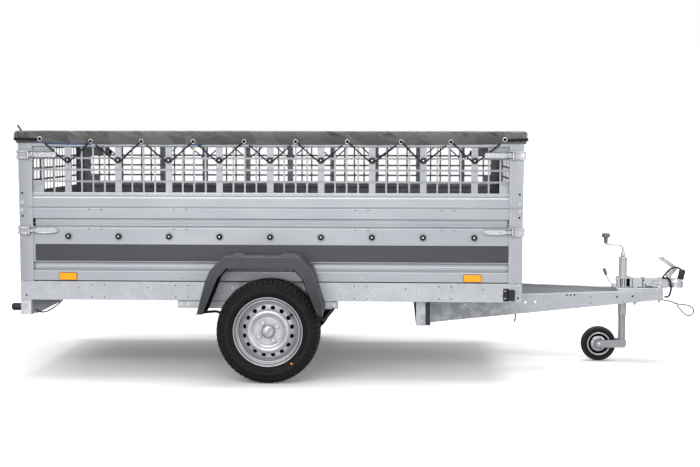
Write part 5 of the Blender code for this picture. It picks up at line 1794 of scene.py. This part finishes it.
def crank():
    x, knob_x = JOCKEY_X, 1.88
    body = BODY_OF["crank"]
    path = [(x, 0, 0.3), (x, 0, 0.64), (x - 0.001, 0, 0.652), (x - 0.006, 0, 0.664), (x - 0.018, 0, 0.6715),
            (x - 0.045, 0, 0.6745), (knob_x + 0.02, 0, 0.676), (knob_x + 0.006, 0, 0.678),
            (knob_x + 0.0008, 0, 0.685), (knob_x, 0, 0.7), (knob_x, 0, 0.72)]
    rod = wire(path, 0.0056, True, 4)
    collar = lathe(mm((0, 633), (9.2, 633), (10.4, 631), (12.2, 625), (12.2, 608), (11.2, 605.8),
                      (0, 605.8)), (x, 0, 0), UP, 32)
    merge(rod, collar)
    piece("crank_look", rod, BRIGHT, body, ("crank",), smooth=50)
    knob = mm((0, 741.5), (19, 741.3), (22.2, 740.2), (23.4, 738), (23.5, 734), (23.3, 722.5),
              (22.2, 718.5), (20, 717), (12.8, 715.5), (11.6, 713), (11.2, 690), (11.4, 686), (10.8, 684.6),
              (6.6, 684.6), (6.6, 724), (0, 724))
    piece("crank_knob_look", lathe(knob, (knob_x, 0, 0), UP, 40), GREY, BODY_OF["crank_knob"],
          ("crank_knob",), smooth=40)


def clamp_handle():
    z = 0.448
    path = [(1.9475, 0, z), (1.924, 0, z + 0.0005), (1.912, 0, 0.455), (1.903, 0, 0.466), (1.893, 0, 0.482),
            (1.883, 0, 0.503)]
    body = BODY_OF["clamp_handle"]
    piece("clamp_rod", wire(path, 0.0046, True, 3), BRIGHT, body, ("clamp_handle",), smooth=50)
    low, high = Vector((1.8862, 0, 0.497)), Vector((1.8712, 0, 0.54))
    length = (high - low).length
    grip = [(0, length), (0.0055, length - 0.0008), (0.0088, length * 0.92), (0.0102, length * 0.7),
            (0.0104, length * 0.4), (0.0086, length * 0.12), (0.0062, 0.0006), (0, 0)]
    piece("clamp_grip", lathe(grip, low, high - low, 28), GREY, body, smooth=50)


def trailer():
    side_members()
    floor()
    side_boards()
    end_boards()
    posts()
    mesh_sides()
    gates()
    hooks()
    latches()
    tarp_sheet()
    eyelets()
    lacing()
    blue_edge()
    running_gear()
    rear_lamps()
    beams()
    jockey_clamp()
    coupling()
    coupling_handle()
    cables()
    jockey_tubes()
    jockey_fork()
    jockey_wheel()
    crank()
    clamp_handle()


# ---- studio ----
def pale_floor():
    """Looks pale to the camera, and throws less light back up at the trailer."""
    look = Look("studio_floor", "floor", (247, 247, 247), 0.8)
    seen = look.node("LightPath").outputs["Is Camera Ray"]
    look.colour = look.mix(seen, (0.4, 0.4, 0.41, 1), (0.93, 0.93, 0.93, 1))
    look.vary_roughness(look.noise(3), 0.75, 0.9)
    reach = look.node("VectorMath", {0: look.place}, operation="LENGTH")
    fade = look.spread(reach.outputs["Value"], 1.6, 5.5, 0.12, 1.0)
    look.set(Emission_Color=(1, 1, 1, 1), Emission_Strength=look.times(seen, fade))
    bpy.ops.mesh.primitive_plane_add(size=60, location=(0, 0, -0.0005))
    ground = bpy.context.object
    ground.name = "studio_ground"
    ground.data.materials.append(look.done())


def area_light(name, place, aim, size, power):
    lamp = bpy.data.lights.new(name, "AREA")
    lamp.shape = "RECTANGLE"
    lamp.size, lamp.size_y = size
    lamp.energy = power
    obj = bpy.data.objects.new(name, lamp)
    obj.location = place
    obj.rotation_euler = (Vector(aim) - Vector(place)).to_track_quat("-Z", "Y").to_euler()
    bpy.context.scene.collection.objects.link(obj)


def studio():
    pale_floor()
    world = bpy.data.worlds.new("studio_world")
    world.use_nodes = True
    bpy.context.scene.world = world
    bpy.context.scene.view_settings.view_transform = "Standard"
    nodes, links = world.node_tree.nodes, world.node_tree.links
    height = nodes.new("ShaderNodeSeparateXYZ")
    links.new(nodes.new("ShaderNodeTexCoord").outputs["Generated"], height.inputs[0])
    ramp = nodes.new("ShaderNodeValToRGB")
    links.new(height.outputs["Z"], ramp.inputs[0])
    ramp.color_ramp.elements[0].color = (0.32, 0.32, 0.33, 1)
    ramp.color_ramp.elements[1].color = (0.85, 0.86, 0.88, 1)
    seen = nodes.new("ShaderNodeMix")
    seen.data_type = "RGBA"
    links.new(nodes.new("ShaderNodeLightPath").outputs["Is Camera Ray"], seen.inputs[0])
    links.new(ramp.outputs[0], seen.inputs[6])
    seen.inputs[7].default_value = (1, 1, 1, 1)
    links.new(seen.outputs[2], nodes["Background"].inputs[0])
    area_light("key", (-1.5, -5.3, 3.7), (0, -0.4, 0.7), (5.0, 1.6), 136)
    area_light("front", (-1.2, -8.2, 1.0), (-0.9, 0, 0.6), (4.0, 1.0), 70)
    area_light("fill", (4.2, -5.0, 1.8), (0.3, 0, 0.6), (2.0, 2.0), 58)
    area_light("top", (0, 0.2, 4.5), (0, 0, 0.6), (5.0, 2.0), 230)


def camera():
    """Looks at the trailer's right side from a little ahead of the axle."""
    yaw, pitch, roll = (math.radians(v) for v in (2.046, 4.283, 0.107))
    lens = bpy.data.cameras.new("photo_camera")
    lens.lens = 64.58
    lens.sensor_width = 36
    obj = bpy.data.objects.new("photo_camera", lens)
    forward = Vector((-math.sin(yaw) * math.cos(pitch), math.cos(yaw) * math.cos(pitch), -math.sin(pitch)))
    right = Vector((math.cos(yaw), math.sin(yaw), 0))
    up = right.cross(forward)
    right_rolled = right * math.cos(roll) + up * math.sin(roll)
    up_rolled = up * math.cos(roll) - right * math.sin(roll)
    turn = Matrix((right_rolled, up_rolled, -forward)).transposed()
    obj.matrix_world = Matrix.Translation((0.6609 + AXLE_X, -7.282, 1.2781)) @ turn.to_4x4()
    bpy.context.scene.collection.objects.link(obj)
    bpy.context.scene.camera = obj


trailer()
studio()
camera()
